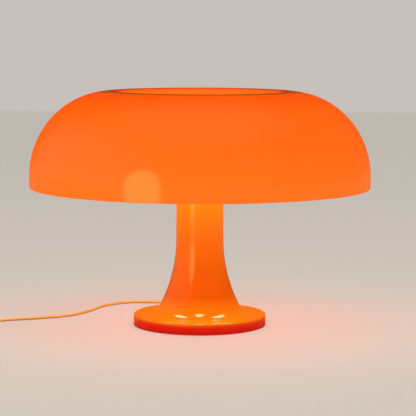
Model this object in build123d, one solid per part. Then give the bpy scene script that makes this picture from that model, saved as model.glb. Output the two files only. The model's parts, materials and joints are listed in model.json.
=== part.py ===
from build123d import *
from math import asin, atan2, ceil, cos, pi, radians, sin, sqrt, tan
import os

# Mushroom table lamp, in millimetres.
# The origin is on the surface it stands on, on the axis of the stem. +Z is up, the front is -Y and
# the cord leaves the foot at +Y.

# ---- Driving dimensions ---------------------------------------------------------------------

# Clearances
RUNNING = 0.06  # radial, between a shaft or a screw and its hole
LOOSE = 0.3  # between neighbours that only have to miss each other

# Foot and stem, one moulding
STEM_R = 22.3
FOOT_R = 62.5
FOOT_TOP = 10.9
FOOT_LIFT = 0.5  # the wall ends this far above the surface
STEM_TOP = 138.5
WALL = 2.4
FLARE_R = 138.0  # long curve of the stem
FLARE_TURN = 27.6
FILLET_R = 13.4  # tight curve into the foot
FOOT_EDGE_R = 0.6  # inside radius of the foot's edge

# Shade
SHADE_R = 160.0
RIM_Z = 131.2
SHADE_WALL = 2.5
SKIRT = 10.6
SHOULDER_R = 81.2
SHOULDER_TURN = 39.6
CROWN_R = 76.4
LIP_R = 12.0
LIP_TURN = 60.0
LIP_RUN = 14.0
BOWL_R = 36.0
RIM_ROUND = 0.8

# Under the foot
PAD_R = 6.0
PAD_T = 1.2
PAD_CIRCLE_R = 46.0
PADS = 4
COVER_T = 1.8
COVER_SCREW_CIRCLE_R = 38.0
COVER_SCREWS = 3
BOSS_R = 12.0
BOSS_TOP = 13.0
RING_H = 9.0
CHANNEL_W = 9.0

# Tie rod and its nuts
ROD_R = 4.0
ROD_NUT_AF = 13.0
ROD_NUT_T = 4.0
WASHER_R = 8.0
WASHER_T = 1.6

# Screws of every cover and clamp
SCREW_R = 1.5
SCREW_HEAD_R = 2.8
SCREW_HEAD_T = 1.7
SCREW_LENGTH = 5.0

# Carrier and lamp holders
PLATE_T = 1.5
TAB_W = 18.0
TAB_AT = 12.0  # inner face of each tab, from the axis
BULB_Z = 158.0
HOLDER_R = 13.0
HOLDER_L = 32.5
HOLDER_BACK = 10.5
NIPPLE_R = 5.0
NIPPLE_BORE_R = 3.5
NIPPLE_IN = 3.8  # how far it stands in from the tab
NIPPLE_DEPTH = 6.0  # how far it goes into the holder
NIPPLE_NUT_AF = 14.0
NIPPLE_NUT_T = 3.0
WIRE_R = 1.0
WIRE_CIRCLE_R = 17.5
WIRE_SPACING = 6.0

# Bulbs, small-cap globes
GLASS_R = 22.5
GLASS_T = 1.0
BULB_L = 78.0
CAP_R = 6.9
CAP_L = 13.0
CAP_WALL = 0.6
TIP_R = 2.4
TIP_T = 2.0
INSULATOR_T = 2.5
NECK_R = 8.2
COLLAR_T = 2.0
SHELL_T = 0.6
CONTACT_R = 3.5
CONTACT_T = 0.6
CONTACT_H = 3.0

# Top of the lamp
GASKET_R = 28.0
GASKET_T = 1.5
SUPPORT_R = 26.0
SUPPORT_T = 3.2
HUB_R = 7.0
CAP_DISC_R = 20.0
CAP_DISC_T = 2.0
KNOB_R = 11.0
KNOB_H = 16.0
KNOB_SIDE_H = 6.0
INSERT_R = 5.6
INSERT_H = 9.0
ROD_IN_KNOB = 10.0

# Cord
CORD_D = 2.6
EXIT_Z = 4.6
GROMMET_R = 3.3
GROMMET_T = 1.5
BOOT_L = 22.0
BOOT_END_R = 2.0
CLAMP_AT = 46.0
CLAMP_W = 6.0
CLAMP_SPACING = 16.0

# In-line switch
SWITCH_X = -216.0
SWITCH_NEAR = -32.0  # the end that faces the lamp
SWITCH_L = 60.0
SWITCH_W = 22.0
SWITCH_H = 16.0
SWITCH_WALL = 1.8
SWITCH_ROUND = 3.0
SWITCH_SCREW_AT = 21.0
ROCKER_L = 20.0
ROCKER_W = 9.0
ROCKER_TILT = 8.0
ROCKER_CROWN = 3.0
PIN_R = 1.0

# Coil and plug
COIL_START_Y = -125.0
COIL_STEPS = 6  # half turns of each spiral
COIL_GAP = 0.55
COIL_MID_D = 11.6 * CORD_D
PLUG_T = 13.7
PLUG_W = 26.0
PLUG_L = 35.0
PLUG_TAIL_W = 11.0
PLUG_BOOT_L = 18.0
PRONG_R = 2.0
PRONG_L = 19.0
PRONG_ROOT_R = 1.6
PRONG_ROOT_L = 6.0
PRONG_SPACING = 18.8

SIDES = {"right": 0, "back": 90, "left": 180, "front": 270}
nodes = {}

# ---- Worked out from them -------------------------------------------------------------------

CORD_R = CORD_D / 2
foot_edge_r = FOOT_EDGE_R + WALL
flare_start = FOOT_TOP + FLARE_R * sin(radians(FLARE_TURN)) + FILLET_R * (1 - sin(radians(FLARE_TURN)))
foot_inner_r = FOOT_R - WALL
cover_low = PAD_T
ballast_low = cover_low + COVER_T
ballast_top = FOOT_TOP - WALL
plate_low = STEM_TOP
plate_top = plate_low + PLATE_T
rod_nut_low = plate_top + WASHER_T
support_low = rod_nut_low + ROD_NUT_T
crown_turn = 90 - SHOULDER_TURN
crest_r = SHADE_R - SHOULDER_R * (1 - cos(radians(SHOULDER_TURN))) - CROWN_R * cos(radians(SHOULDER_TURN))
crest_z = (
    RIM_Z + SKIRT + SHOULDER_R * sin(radians(SHOULDER_TURN)) + CROWN_R * (1 - sin(radians(SHOULDER_TURN)))
)
bowl_drop = (LIP_R + BOWL_R) * (1 - cos(radians(LIP_TURN))) + LIP_RUN * sin(radians(LIP_TURN))
bowl_in = (LIP_R + BOWL_R) * sin(radians(LIP_TURN)) + LIP_RUN * cos(radians(LIP_TURN))
seat_top = crest_z - bowl_drop
seat_low = seat_top - SHADE_WALL
seat_r = crest_r - bowl_in
support_top = seat_low - GASKET_T
cap_disc_top = seat_top + GASKET_T + CAP_DISC_T
rod_top = cap_disc_top + ROD_IN_KNOB
holder_at = TAB_AT + PLATE_T
contact_at = holder_at + HOLDER_BACK
tip_at = contact_at + CONTACT_H
cap_at = tip_at + TIP_T
collar_at = cap_at + INSULATOR_T + CAP_L
neck_at = collar_at + COLLAR_T
glass_at = tip_at + BULB_L - GLASS_R
holder_bore_r = CAP_R + RUNNING + SHELL_T
ring_low = BOSS_TOP
ring_top = BOSS_TOP + RING_H
ring_r = WIRE_CIRCLE_R + WIRE_R + 1
lead_z = ring_low + RING_H / 3
boot_end = FOOT_R + GROMMET_T + BOOT_L
switch_far = SWITCH_NEAR - SWITCH_L
switch_z = SWITCH_H / 2
plug_z = PLUG_T / 2


# ---- Helpers --------------------------------------------------------------------------------


def turned(*corners):
    """A solid of revolution about Z, from the (radius, height) corners of its half section."""
    return revolve(Plane.XZ * make_face(Polyline(*corners, close=True)), Axis.Z)


def ring(outer, inner, low, high):
    return turned((inner, low), (outer, low), (outer, high), (inner, high))


def rod(radius, low, high):
    return Pos(0, 0, low) * Cylinder(radius, high - low, align=(Align.CENTER, Align.CENTER, Align.MIN))


def block(size, centre, low):
    """A box of size (x, y, z) with its middle over centre and its underside at low."""
    corner = (Align.CENTER, Align.CENTER, Align.MIN)
    return Pos(centre[0], centre[1], low) * Box(*size, align=corner)


def hexagon(across_flats, low, high):
    return Pos(0, 0, low) * extrude(RegularPolygon(across_flats / 2, 6, major_radius=False), high - low)


def round_about(count, radius, first=0.0):
    """count places on a circle round the stem."""
    places = []
    for n in range(count):
        angle = radians(first + 360 * n / count)
        places.append((radius * cos(angle), radius * sin(angle)))
    return places


def outward(angle):
    """The frame of one lamp holder: Z points out from the stem, X to the side and Y up."""
    side = (-sin(radians(angle)), cos(radians(angle)), 0)
    out = (cos(radians(angle)), sin(radians(angle)), 0)
    return Plane(origin=(0, 0, BULB_Z), x_dir=side, z_dir=out).location


def walk(start, heading, steps, inset=0.0):
    """Lines and tangent arcs one after another, drawn inset to the left of the steps.

    A step is (length, 0) for a line and (radius, turn) for an arc. A turn to the left is positive.
    """
    angle = radians(heading)
    at = Vector(*start) + Vector(-sin(angle), cos(angle)) * inset
    pieces = []
    for size, turn in steps:
        ahead = Vector(cos(angle), sin(angle))
        if turn == 0:
            pieces.append(Line(at, at + ahead * size))
        else:
            side = 1 if turn > 0 else -1
            pieces.append(JernArc(at, ahead, size - side * inset, turn))
        at = pieces[-1] @ 1
        angle += radians(turn)
    return pieces


def skin(start, heading, steps, inset):
    """A wall of revolution between the steps and the same steps drawn inset to their left."""
    outer = walk(start, heading, steps)
    inner = walk(start, heading, steps, inset)
    ends = [Line(outer[0] @ 0, inner[0] @ 0), Line(outer[-1] @ 1, inner[-1] @ 1)]
    return revolve(Plane.XZ * make_face(outer + inner + ends), Axis.Z)


def group(solids):
    """Separate solids that share one node."""
    return Compound(children=list(solids))


def screw(head_at, length=SCREW_LENGTH, down=False):
    """A countersunk screw that points up or down, with its head's flat face at head_at (x, y, z)."""
    shape = turned(
        (0, 0), (SCREW_HEAD_R, 0), (SCREW_R, SCREW_HEAD_T), (SCREW_R, length), (0, length)
    )
    return Pos(*head_at) * Rot(180 if down else 0, 0, 0) * shape


def screw_hole(head_at, length=SCREW_LENGTH, down=False):
    shape = turned(
        (0, -1),
        (SCREW_HEAD_R + RUNNING, -1),
        (SCREW_HEAD_R + RUNNING, 0),
        (SCREW_R + RUNNING, SCREW_HEAD_T),
        (SCREW_R + RUNNING, length + RUNNING),
        (0, length + RUNNING),
    )
    return Pos(*head_at) * Rot(180 if down else 0, 0, 0) * shape


def corner_radii(points):
    """The largest tangent arcs that the runs of a cord's route leave room for."""
    radii = []
    for before, here, after in zip(points, points[1:], points[2:]):
        run_in = Vector(*here) - Vector(*before)
        run_out = Vector(*after) - Vector(*here)
        turn = radians(run_in.get_angle(run_out))
        radii.append(0.45 * min(run_in.length, run_out.length) / tan(turn / 2))
    return radii


def tube(path, radius=CORD_R):
    """A round tube along a wire."""
    start = Plane(origin=path @ 0, z_dir=path % 0)
    return sweep(start * Circle(radius), path=path)


def cord(name, points, radius=CORD_R):
    radii = corner_radii(points)
    path = FilletPolyline(*points, radius=radii)
    solid = tube(path, radius)
    share = solid.volume / (pi * radius**2 * path.length)
    print(f"{name}: {path.length:.0f} mm, radii {[round(r, 1) for r in radii]}, volume share {share:.4f}")
    return solid


# ---- Foot and stem --------------------------------------------------------------------------


def stem_and_foot():
    flat = FOOT_R - foot_edge_r - STEM_R
    flat -= FLARE_R * (1 - cos(radians(FLARE_TURN))) + FILLET_R * cos(radians(FLARE_TURN))
    steps = [
        (STEM_TOP - flare_start, 0),
        (FLARE_R, FLARE_TURN),
        (FILLET_R, 90 - FLARE_TURN),
        (flat, 0),
        (foot_edge_r, -90),
        (FOOT_TOP - foot_edge_r - FOOT_LIFT, 0),
    ]
    body = skin((STEM_R, STEM_TOP), 270, steps, -WALL)
    cord_hole = Pos(0, FOOT_R, EXIT_Z) * Rot(90, 0, 0) * Cylinder(GROMMET_R - 0.9 + RUNNING, 4 * WALL)
    return body - cord_hole


def ballast():
    counterbore_top = ballast_low + ROD_NUT_T + WASHER_T + 1
    shape = turned(
        (WASHER_R + LOOSE, ballast_low),
        (foot_inner_r - 1.1, ballast_low),
        (foot_inner_r - 1.1, ballast_top),
        (BOSS_R, ballast_top),
        (BOSS_R, BOSS_TOP),
        (ROD_R + RUNNING, BOSS_TOP),
        (ROD_R + RUNNING, counterbore_top),
        (WASHER_R + LOOSE, counterbore_top),
    )
    channel_l = FOOT_R - BOSS_R - 2
    channel = block((CHANNEL_W, channel_l, BOSS_TOP), (0, FOOT_R - channel_l / 2), ballast_low - 1)
    shape -= channel
    for x, y in round_about(COVER_SCREWS, COVER_SCREW_CIRCLE_R, 30):
        shape -= screw_hole((x, y, cover_low))
    pocket_low = EXIT_Z + CORD_R
    pocket = (CLAMP_SPACING + 6 + 2 * LOOSE, CLAMP_W + 2 * LOOSE, BOSS_TOP)
    shape -= block(pocket, (0, CLAMP_AT), pocket_low)
    for place in clamp_screw_places():
        shape -= screw_hole(place, down=True)
    return shape


def base_cover():
    shape = rod(foot_inner_r - 2 * LOOSE, cover_low, ballast_low)
    notch = (2 * GROMMET_R + 2 * LOOSE, 6, 2 * ballast_low)
    shape -= block(notch, (0, foot_inner_r - GROMMET_T + 3 - 1), 0)
    for x, y in round_about(COVER_SCREWS, COVER_SCREW_CIRCLE_R, 30):
        shape -= screw_hole((x, y, cover_low))
    return shape


def cover_screws():
    return group(screw((x, y, cover_low)) for x, y in round_about(COVER_SCREWS, COVER_SCREW_CIRCLE_R, 30))


def foot_pads():
    return group(Pos(x, y, 0) * rod(PAD_R, 0, PAD_T) for x, y in round_about(PADS, PAD_CIRCLE_R, 0))


def cord_grommet():
    """Flanged sleeve through the foot's wall, with the tapered boot that the cord comes out of."""
    sleeve_r = GROMMET_R - 0.9
    out = FOOT_R - foot_inner_r
    shape = turned(
        (0, -GROMMET_T - 0.4),
        (GROMMET_R, -GROMMET_T - 0.4),
        (GROMMET_R, -0.4),
        (sleeve_r, -0.4),
        (sleeve_r, out + 0.1),
        (GROMMET_R, out + 0.1),
        (GROMMET_R, out + GROMMET_T),
        (BOOT_END_R, out + GROMMET_T + BOOT_L),
        (0, out + GROMMET_T + BOOT_L),
    )
    return Pos(0, foot_inner_r, EXIT_Z) * Rot(-90, 0, 0) * shape


def clamp_screw_places():
    return [(x, CLAMP_AT, ballast_top) for x in (-CLAMP_SPACING / 2, CLAMP_SPACING / 2)]


def cord_clamp():
    """A bar in a pocket across the channel, that holds the lead down."""
    low = EXIT_Z + CORD_R
    shape = block((CLAMP_SPACING + 6, CLAMP_W, ballast_top - low), (0, CLAMP_AT), low)
    for place in clamp_screw_places():
        shape -= screw_hole(place, down=True)
    return shape


def clamp_screws():
    return group(screw(place, down=True) for place in clamp_screw_places())


def wire_places():
    """Two wires for each lamp holder, as (x, y)."""
    places = []
    for angle in SIDES.values():
        for aside in (-WIRE_SPACING / 2, WIRE_SPACING / 2):
            a = radians(angle)
            x = WIRE_CIRCLE_R * cos(a) - aside * sin(a)
            y = WIRE_CIRCLE_R * sin(a) + aside * cos(a)
            places.append((x, y))
    return places


def ring_screw_places():
    return round_about(4, ring_r - 6.5, 45)


def terminal_ring():
    """A round terminal block over the boss, with a flat at the back where the lead enters."""
    shape = ring(ring_r, ROD_R + LOOSE, ring_low, ring_top)
    shape -= block((2 * ring_r, 4, 2 * ring_top), (0, ring_r + 1), 0)
    for x, y in wire_places():
        shape -= Pos(x, y, 0) * rod(WIRE_R + RUNNING, ring_top - 3, ring_top + 1)
    for x, y in ring_screw_places():
        shape -= Pos(x, y, 0) * rod(SCREW_R + RUNNING, ring_top - 3.5, ring_top + 1)
    return shape


def terminal_screws():
    shape = turned(
        (0, ring_top - 3),
        (SCREW_R, ring_top - 3),
        (SCREW_R, ring_top),
        (SCREW_R + 0.9, ring_top),
        (SCREW_R + 0.9, ring_top + 1.2),
        (0, ring_top + 1.2),
    )
    return group(Pos(x, y, 0) * shape for x, y in ring_screw_places())


def inner_lead():
    """The cord's end inside the foot, from the grommet through the channel to the terminal ring."""
    start = foot_inner_r - GROMMET_T - 0.4
    end = ring_r - 1
    points = [
        (0, start, EXIT_Z),
        (0, start - 21.5, EXIT_Z),
        (0, end + 8, lead_z),
        (0, end, lead_z),
    ]
    return cord("inner_lead", points)


def holder_wires():
    top = BULB_Z - HOLDER_R + 2
    low = ring_top - 3
    return group(Pos(x, y, 0) * rod(WIRE_R, low, top) for x, y in wire_places())


# ---- Rod, carrier and holders ---------------------------------------------------------------


def tie_rod():
    return rod(ROD_R, ballast_low + 0.4, rod_top)


def rod_nut_lows():
    return (ballast_low + 1, rod_nut_low)


def rod_nuts():
    hole = ROD_R + RUNNING
    return group(
        hexagon(ROD_NUT_AF, low, low + ROD_NUT_T) - rod(hole, low - 1, low + ROD_NUT_T + 1)
        for low in rod_nut_lows()
    )


def rod_washers():
    lows = (ballast_low + 1 + ROD_NUT_T, plate_top)
    return group(ring(WASHER_R, ROD_R + RUNNING, low, low + WASHER_T) for low in lows)


def lamp_carrier():
    """A steel plate on the stem with a tab bent up for each lamp holder."""
    plate = rod(STEM_R, plate_low, plate_top)
    shape = plate - rod(ROD_R + RUNNING, plate_low - 1, plate_top + 1)
    tab_top = BULB_Z + TAB_W / 2
    for angle in SIDES.values():
        tab = Box(TAB_W, tab_top - plate_top + PLATE_T / 2, PLATE_T)
        tab = Pos(0, (tab_top + plate_top - PLATE_T / 2) / 2 - BULB_Z, TAB_AT + PLATE_T / 2) * tab
        hole = rod(NIPPLE_R + RUNNING, TAB_AT - 1, TAB_AT + PLATE_T + 1)
        shape += outward(angle) * tab
        shape -= outward(angle) * hole
    for x, y in wire_places():
        shape -= Pos(x, y, 0) * rod(WIRE_R + 0.5, plate_low - 1, plate_top + 1)
    return shape


def nipples():
    low = TAB_AT - NIPPLE_IN
    high = holder_at + NIPPLE_DEPTH
    return group(outward(angle) * ring(NIPPLE_R, NIPPLE_BORE_R, low, high) for angle in SIDES.values())


def nipple_nuts():
    low = TAB_AT - NIPPLE_NUT_T
    shape = hexagon(NIPPLE_NUT_AF, low, TAB_AT) - rod(NIPPLE_R + RUNNING, low - 1, TAB_AT + 1)
    return group(outward(angle) * shape for angle in SIDES.values())


def holder_body():
    """One lamp holder's plastic body, along Z from its back to its open mouth."""
    mouth = holder_at + HOLDER_L
    shape = turned(
        (0, holder_at + NIPPLE_DEPTH),
        (NIPPLE_R + RUNNING, holder_at + NIPPLE_DEPTH),
        (NIPPLE_R + RUNNING, holder_at),
        (HOLDER_R - 1, holder_at),
        (HOLDER_R, holder_at + 1),
        (HOLDER_R, mouth - 0.8),
        (HOLDER_R - 0.8, mouth),
        (NECK_R + 1, mouth),
        (NECK_R + 1, collar_at - 0.5),
        (holder_bore_r + RUNNING, collar_at - 2),
        (holder_bore_r + RUNNING, contact_at),
        (0, contact_at),
    )
    for aside in (-WIRE_SPACING / 2, WIRE_SPACING / 2):
        entry = Rot(90, 0, 0) * Cylinder(WIRE_R + RUNNING, 4.2)
        shape -= Pos(aside, -HOLDER_R, WIRE_CIRCLE_R) * entry
    return shape


def holder_shell():
    return ring(holder_bore_r, CAP_R + RUNNING, contact_at + 2, collar_at - 3)


def holder_contact():
    return turned(
        (0, contact_at),
        (CONTACT_R, contact_at),
        (CONTACT_R, contact_at + CONTACT_T),
        (CONTACT_R - 1.5, contact_at + CONTACT_T),
        (CONTACT_R - 1.5, tip_at),
        (0, tip_at),
    )


# ---- Bulbs ----------------------------------------------------------------------------------


def bulb_tip():
    return turned(
        (0, tip_at), (TIP_R - 0.8, tip_at), (TIP_R, tip_at + 0.8), (TIP_R, cap_at), (0, cap_at)
    )


def bulb_cap():
    """The cap: its black insulator cone, the threaded wall and the collar round the neck."""
    inner = CAP_R - CAP_WALL
    wall_at = cap_at + INSULATOR_T
    return turned(
        (0, cap_at),
        (TIP_R, cap_at),
        (CAP_R, wall_at),
        (CAP_R, collar_at - 1.5),
        (NECK_R, collar_at),
        (NECK_R, neck_at),
        (NECK_R - GLASS_T, neck_at),
        (inner, collar_at - 1.5),
        (inner, wall_at + 1),
        (0, wall_at + 1),
    )


def glass_outline(inset):
    """Half outline of the globe and the cone down to its neck, from the neck to the top."""
    radius = GLASS_R - inset
    neck = Vector(NECK_R - inset, neck_at)
    to_centre = Vector(0, glass_at) - neck
    slope = atan2(to_centre.Y, to_centre.X) - asin(radius / to_centre.length)
    run = sqrt(to_centre.length**2 - radius**2)
    touch = neck + Vector(cos(slope), sin(slope)) * run
    top = Vector(0, glass_at + radius)
    half = (atan2(touch.Y - glass_at, touch.X) + pi / 2) / 2
    middle = Vector(radius * cos(half), glass_at + radius * sin(half))
    return [Line(neck, touch), ThreePointArc(touch, middle, top)]


def bulb_glass():
    outer = glass_outline(0)
    inner = glass_outline(GLASS_T)
    ends = [Line(outer[0] @ 0, inner[0] @ 0), Line(outer[-1] @ 1, inner[-1] @ 1)]
    return revolve(Plane.XZ * make_face(outer + inner + ends), Axis.Z)


# ---- Shade and what holds it ----------------------------------------------------------------


def shade():
    steps = [
        (SKIRT, 0),
        (SHOULDER_R, SHOULDER_TURN),
        (CROWN_R, crown_turn),
        (LIP_R, LIP_TURN),
        (LIP_RUN, 0),
        (BOWL_R, -LIP_TURN),
        (seat_r - ROD_R - LOOSE, 0),
    ]
    shape = skin((SHADE_R, RIM_Z), 90, steps, SHADE_WALL)
    rim = shape.edges().filter_by_position(Axis.Z, RIM_Z - 0.01, RIM_Z + 0.01)
    return fillet(rim, min(RIM_ROUND, 0.4 * SHADE_WALL))


def shade_support():
    """A hub that stands on the carrier's nut, with a disc under the shade's seat."""
    bore = ROD_R + LOOSE
    return turned(
        (bore, support_low),
        (HUB_R, support_low),
        (HUB_R, support_top - SUPPORT_T),
        (SUPPORT_R, support_top - SUPPORT_T),
        (SUPPORT_R, support_top),
        (bore, support_top),
    )


def shade_gaskets():
    bore = ROD_R + LOOSE
    under = ring(GASKET_R, bore, support_top, seat_low)
    over = ring(CAP_DISC_R, bore, seat_top, seat_top + GASKET_T)
    return group((under, over))


def cap_disc():
    low = seat_top + GASKET_T
    shape = ring(CAP_DISC_R, ROD_R + LOOSE, low, cap_disc_top)
    rim = shape.edges().filter_by(GeomType.CIRCLE).group_by(SortBy.RADIUS)[-1].sort_by(Axis.Z)[-1]
    return fillet(rim, 0.4 * CAP_DISC_T)


def knob_insert():
    return ring(INSERT_R, ROD_R + RUNNING, cap_disc_top, cap_disc_top + INSERT_H)


def knob():
    """A domed knob over the end of the rod, with a recess for its brass insert."""
    low = cap_disc_top
    top = low + KNOB_H
    waist = KNOB_R - 1.5
    hollow_top = rod_top + 1.5
    dome = KNOB_H - KNOB_SIDE_H
    dome_r = (KNOB_R**2 + dome**2) / (2 * dome)
    half = asin(KNOB_R / dome_r) / 2
    shoulder = (dome_r * sin(half), top - dome_r + dome_r * cos(half))
    outline = [
        Line((INSERT_R + RUNNING, low), (waist, low)),
        Line((waist, low), (KNOB_R, low + KNOB_SIDE_H)),
        ThreePointArc((KNOB_R, low + KNOB_SIDE_H), shoulder, (0, top)),
        Line((0, top), (0, hollow_top)),
        Line((0, hollow_top), (ROD_R + LOOSE, hollow_top)),
        Line((ROD_R + LOOSE, hollow_top), (ROD_R + LOOSE, low + INSERT_H)),
        Line((ROD_R + LOOSE, low + INSERT_H), (INSERT_R + RUNNING, low + INSERT_H)),
        Line((INSERT_R + RUNNING, low + INSERT_H), (INSERT_R + RUNNING, low)),
    ]
    return revolve(Plane.XZ * make_face(outline), Axis.Z)


# ---- Cord, switch, coil and plug ------------------------------------------------------------


def cord_to_switch():
    """The lead from the boot, back and round to the left, then forward to the switch."""
    points = [
        (0, boot_end, EXIT_Z),
        (0, boot_end + 9, EXIT_Z),
        (-6, boot_end + 23, CORD_R + 0.8),
        (-21, boot_end + 32.5, CORD_R),
        (-44, 121, CORD_R),
        (-75, 122, CORD_R),
        (-98, 98, CORD_R),
        (-107, 67, CORD_R),
        (-126, 39, CORD_R),
        (-156, 24, CORD_R),
        (-187, 13, CORD_R),
        (-209, -3, CORD_R + 0.6),
        (SWITCH_X, SWITCH_NEAR + 12, switch_z),
        (SWITCH_X, SWITCH_NEAR, switch_z),
    ]
    return cord("cord_to_switch", points)


def cord_from_switch():
    points = [
        (SWITCH_X, switch_far, switch_z),
        (SWITCH_X, switch_far - 9, switch_z),
        (SWITCH_X, COIL_START_Y + CORD_D + 7, CORD_R),
        (SWITCH_X, COIL_START_Y + CORD_D, CORD_R),
    ]
    return cord("cord_from_switch", points)


def switch_shell(low, high, open_up):
    """Half of the switch's housing: a rounded tray with a screw post at each end."""
    middle = (SWITCH_X, (SWITCH_NEAR + switch_far) / 2)
    length = SWITCH_L
    outer = block((SWITCH_W, length, high - low), middle, low)
    outer = fillet(outer.edges().filter_by(Axis.Z), SWITCH_ROUND)
    flat = outer.faces().sort_by(Axis.Z)[0 if open_up else -1]
    outer = fillet(flat.edges(), SWITCH_ROUND / 2)
    floor = low + SWITCH_WALL if open_up else low - 1
    size = (SWITCH_W - 2 * SWITCH_WALL, length - 2 * SWITCH_WALL, high - low - SWITCH_WALL + 1)
    inner = block(size, middle, floor)
    shape = outer - inner
    for y in (middle[1] - SWITCH_SCREW_AT, middle[1] + SWITCH_SCREW_AT):
        post = rod(SCREW_HEAD_R + 0.9, low + 1, high) if open_up else rod(SCREW_HEAD_R + 0.9, low, high - 1)
        shape += Pos(middle[0], y, 0) * post
    return shape


def switch_middle():
    return (SWITCH_X, (SWITCH_NEAR + switch_far) / 2)


def switch_screw_places():
    x, y = switch_middle()
    return [(x, y - SWITCH_SCREW_AT, 0.4), (x, y + SWITCH_SCREW_AT, 0.4)]


def switch_base():
    shape = switch_shell(0, switch_z, True)
    for place in switch_screw_places():
        shape -= screw_hole(place, SWITCH_H - 4)
    return shape


def rocker_pivot():
    return (*switch_middle(), SWITCH_H - SWITCH_WALL)


def switch_cover():
    shape = switch_shell(switch_z, SWITCH_H, False)
    x, y = switch_middle()
    for place in switch_screw_places():
        shape -= screw_hole(place, SWITCH_H - 4)
    window = (ROCKER_W + 2 * LOOSE, ROCKER_L + 2 * LOOSE, 3 * SWITCH_WALL)
    shape -= block(window, (x, y), SWITCH_H - 2 * SWITCH_WALL)
    pivot_z = rocker_pivot()[2]
    for side in (-1, 1):
        lug_x = x + side * (ROCKER_W / 2 + LOOSE + 1.1)
        shape += block((2.2, 5, 4), (lug_x, y), SWITCH_H - 4)
    return shape - Pos(x, y, pivot_z) * Rot(0, 90, 0) * Cylinder(PIN_R, ROCKER_W + 5.5)


def switch_screws():
    return group(screw(place, SWITCH_H - 4) for place in switch_screw_places())


def rocker_pin():
    return Pos(*rocker_pivot()) * Rot(0, 90, 0) * Cylinder(PIN_R, ROCKER_W + 5)


def rocker():
    """A rocker whose ends are round its pivot, tipped to the side that is switched on."""
    half = ROCKER_L / 2
    crown = ROCKER_CROWN
    drop = half * tan(radians(ROCKER_TILT))
    keel = 4.0
    outline = Polyline((-half, crown + drop), (0, crown), (half, crown + drop), (half * 0.9, -keel + 1),
                       (3, -keel), (-3, -keel), (-half * 0.9, -keel + 1), close=True)
    section = make_face(outline)
    body = extrude(Plane.YZ * section, ROCKER_W / 2, both=True)
    body &= Rot(0, 90, 0) * Cylinder(half, ROCKER_W)
    body -= Rot(0, 90, 0) * Cylinder(PIN_R + RUNNING, 2 * ROCKER_W)
    return Pos(*rocker_pivot()) * Rot(ROCKER_TILT, 0, 0) * body


def switch_terminals():
    x, y = switch_middle()
    places = [(x, y - 12), (x, y + 12)]
    return group(block((8, 6, 4.4), place, SWITCH_WALL) for place in places)


def coil_path():
    """Four layers that spiral in and out, climbing a layer in each half turn where they reverse."""
    step = CORD_D + COIL_GAP
    outer = COIL_MID_D / 2 + COIL_STEPS * step / 4
    spiral = [outer - k * step / 2 for k in range(COIL_STEPS)]
    inner = outer - COIL_STEPS * step / 2
    halves = [(r, 0) for r in spiral] + [(inner, step)] + [(r, 0) for r in reversed(spiral)]
    halves = halves + [(outer + step / 2, step)] + halves
    at = Vector(SWITCH_X, COIL_START_Y, CORD_R)
    heading = Vector(0, -1, 0)
    pieces = [Line(at - heading * CORD_D, at)]
    for radius, climb in halves:
        towards = Vector(heading.Y, -heading.X, 0)
        rise = climb / 2
        bulge = sqrt(radius**2 + rise**2)
        top = at + towards * radius + heading * bulge + Vector(0, 0, rise)
        end = at + towards * 2 * radius + Vector(0, 0, climb)
        pieces.append(TangentArc(at, top, tangent=heading))
        pieces.append(TangentArc(top, end, tangent=pieces[-1] % 1))
        at = end
        heading = heading * -1
    return pieces, at, heading


def tail_path(at, heading):
    """From the top layer over the coil's edge and down to the plug's axis."""
    clear = at + heading * 13
    drop = clear.Z - plug_z
    run = 26
    middle = clear + heading * (run / 2) - Vector(0, 0, drop / 2)
    low = clear + heading * run - Vector(0, 0, drop)
    end = low + heading * CORD_D
    first = TangentArc(clear, middle, tangent=heading)
    second = TangentArc(middle, low, tangent=first % 1)
    return [Line(at, clear), first, second, Line(low, end)], end


def least_gap(path):
    """The least distance between two places on the tube that are over a half turn apart."""
    count = ceil(path.length / 1.5)
    points = [path @ (n / count) for n in range(count + 1)]
    apart = ceil(5 * CORD_D / 1.5)
    least = min(
        (points[i] - points[j]).length
        for i in range(len(points))
        for j in range(i + apart, len(points))
    )
    return least - CORD_D


coil_pieces, coil_end, coil_heading = coil_path()
tail_pieces, tail_end = tail_path(coil_end, coil_heading)


def cord_coil():
    path = Wire(coil_pieces + tail_pieces)
    solid = tube(path)
    share = solid.volume / (pi * CORD_R**2 * path.length)
    print(f"cord_coil: {path.length:.0f} mm, volume share {share:.4f}, least gap {least_gap(path):.2f}")
    return solid


def plug_body():
    """A flat two-pin plug: a tapered boot, then a body that widens towards its face."""
    start = tail_end.Y
    boot = turned(
        (0, 0),
        (CORD_R + 0.7, 0),
        (PLUG_TAIL_W / 2 - 1, PLUG_BOOT_L),
        (PLUG_TAIL_W / 2 - 1, PLUG_BOOT_L + 2),
        (0, PLUG_BOOT_L + 2),
    )
    boot = Pos(tail_end.X, start, plug_z) * Rot(-90, 0, 0) * boot
    back = start + PLUG_BOOT_L
    outline = Polyline(
        (-PLUG_TAIL_W / 2, back),
        (-PLUG_W / 2, back + 0.45 * PLUG_L),
        (-PLUG_W / 2, back + PLUG_L),
        (PLUG_W / 2, back + PLUG_L),
        (PLUG_W / 2, back + 0.45 * PLUG_L),
        (PLUG_TAIL_W / 2, back),
        close=True,
    )
    body = extrude(Pos(tail_end.X, 0, 0) * make_face(outline), PLUG_T)
    body = fillet(body.edges().filter_by(Axis.Z), 2.5)
    flats = body.faces().filter_by(Axis.Z)
    body = fillet(flats.edges(), 1.5)
    shape = body + boot
    for x in (-PRONG_SPACING / 2, PRONG_SPACING / 2):
        prong = Pos(tail_end.X + x, back + PLUG_L, plug_z) * Rot(90, 0, 0)
        shape -= prong * Cylinder(PRONG_ROOT_R + RUNNING, 2 * (PRONG_ROOT_L + RUNNING))
    return shape


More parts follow.
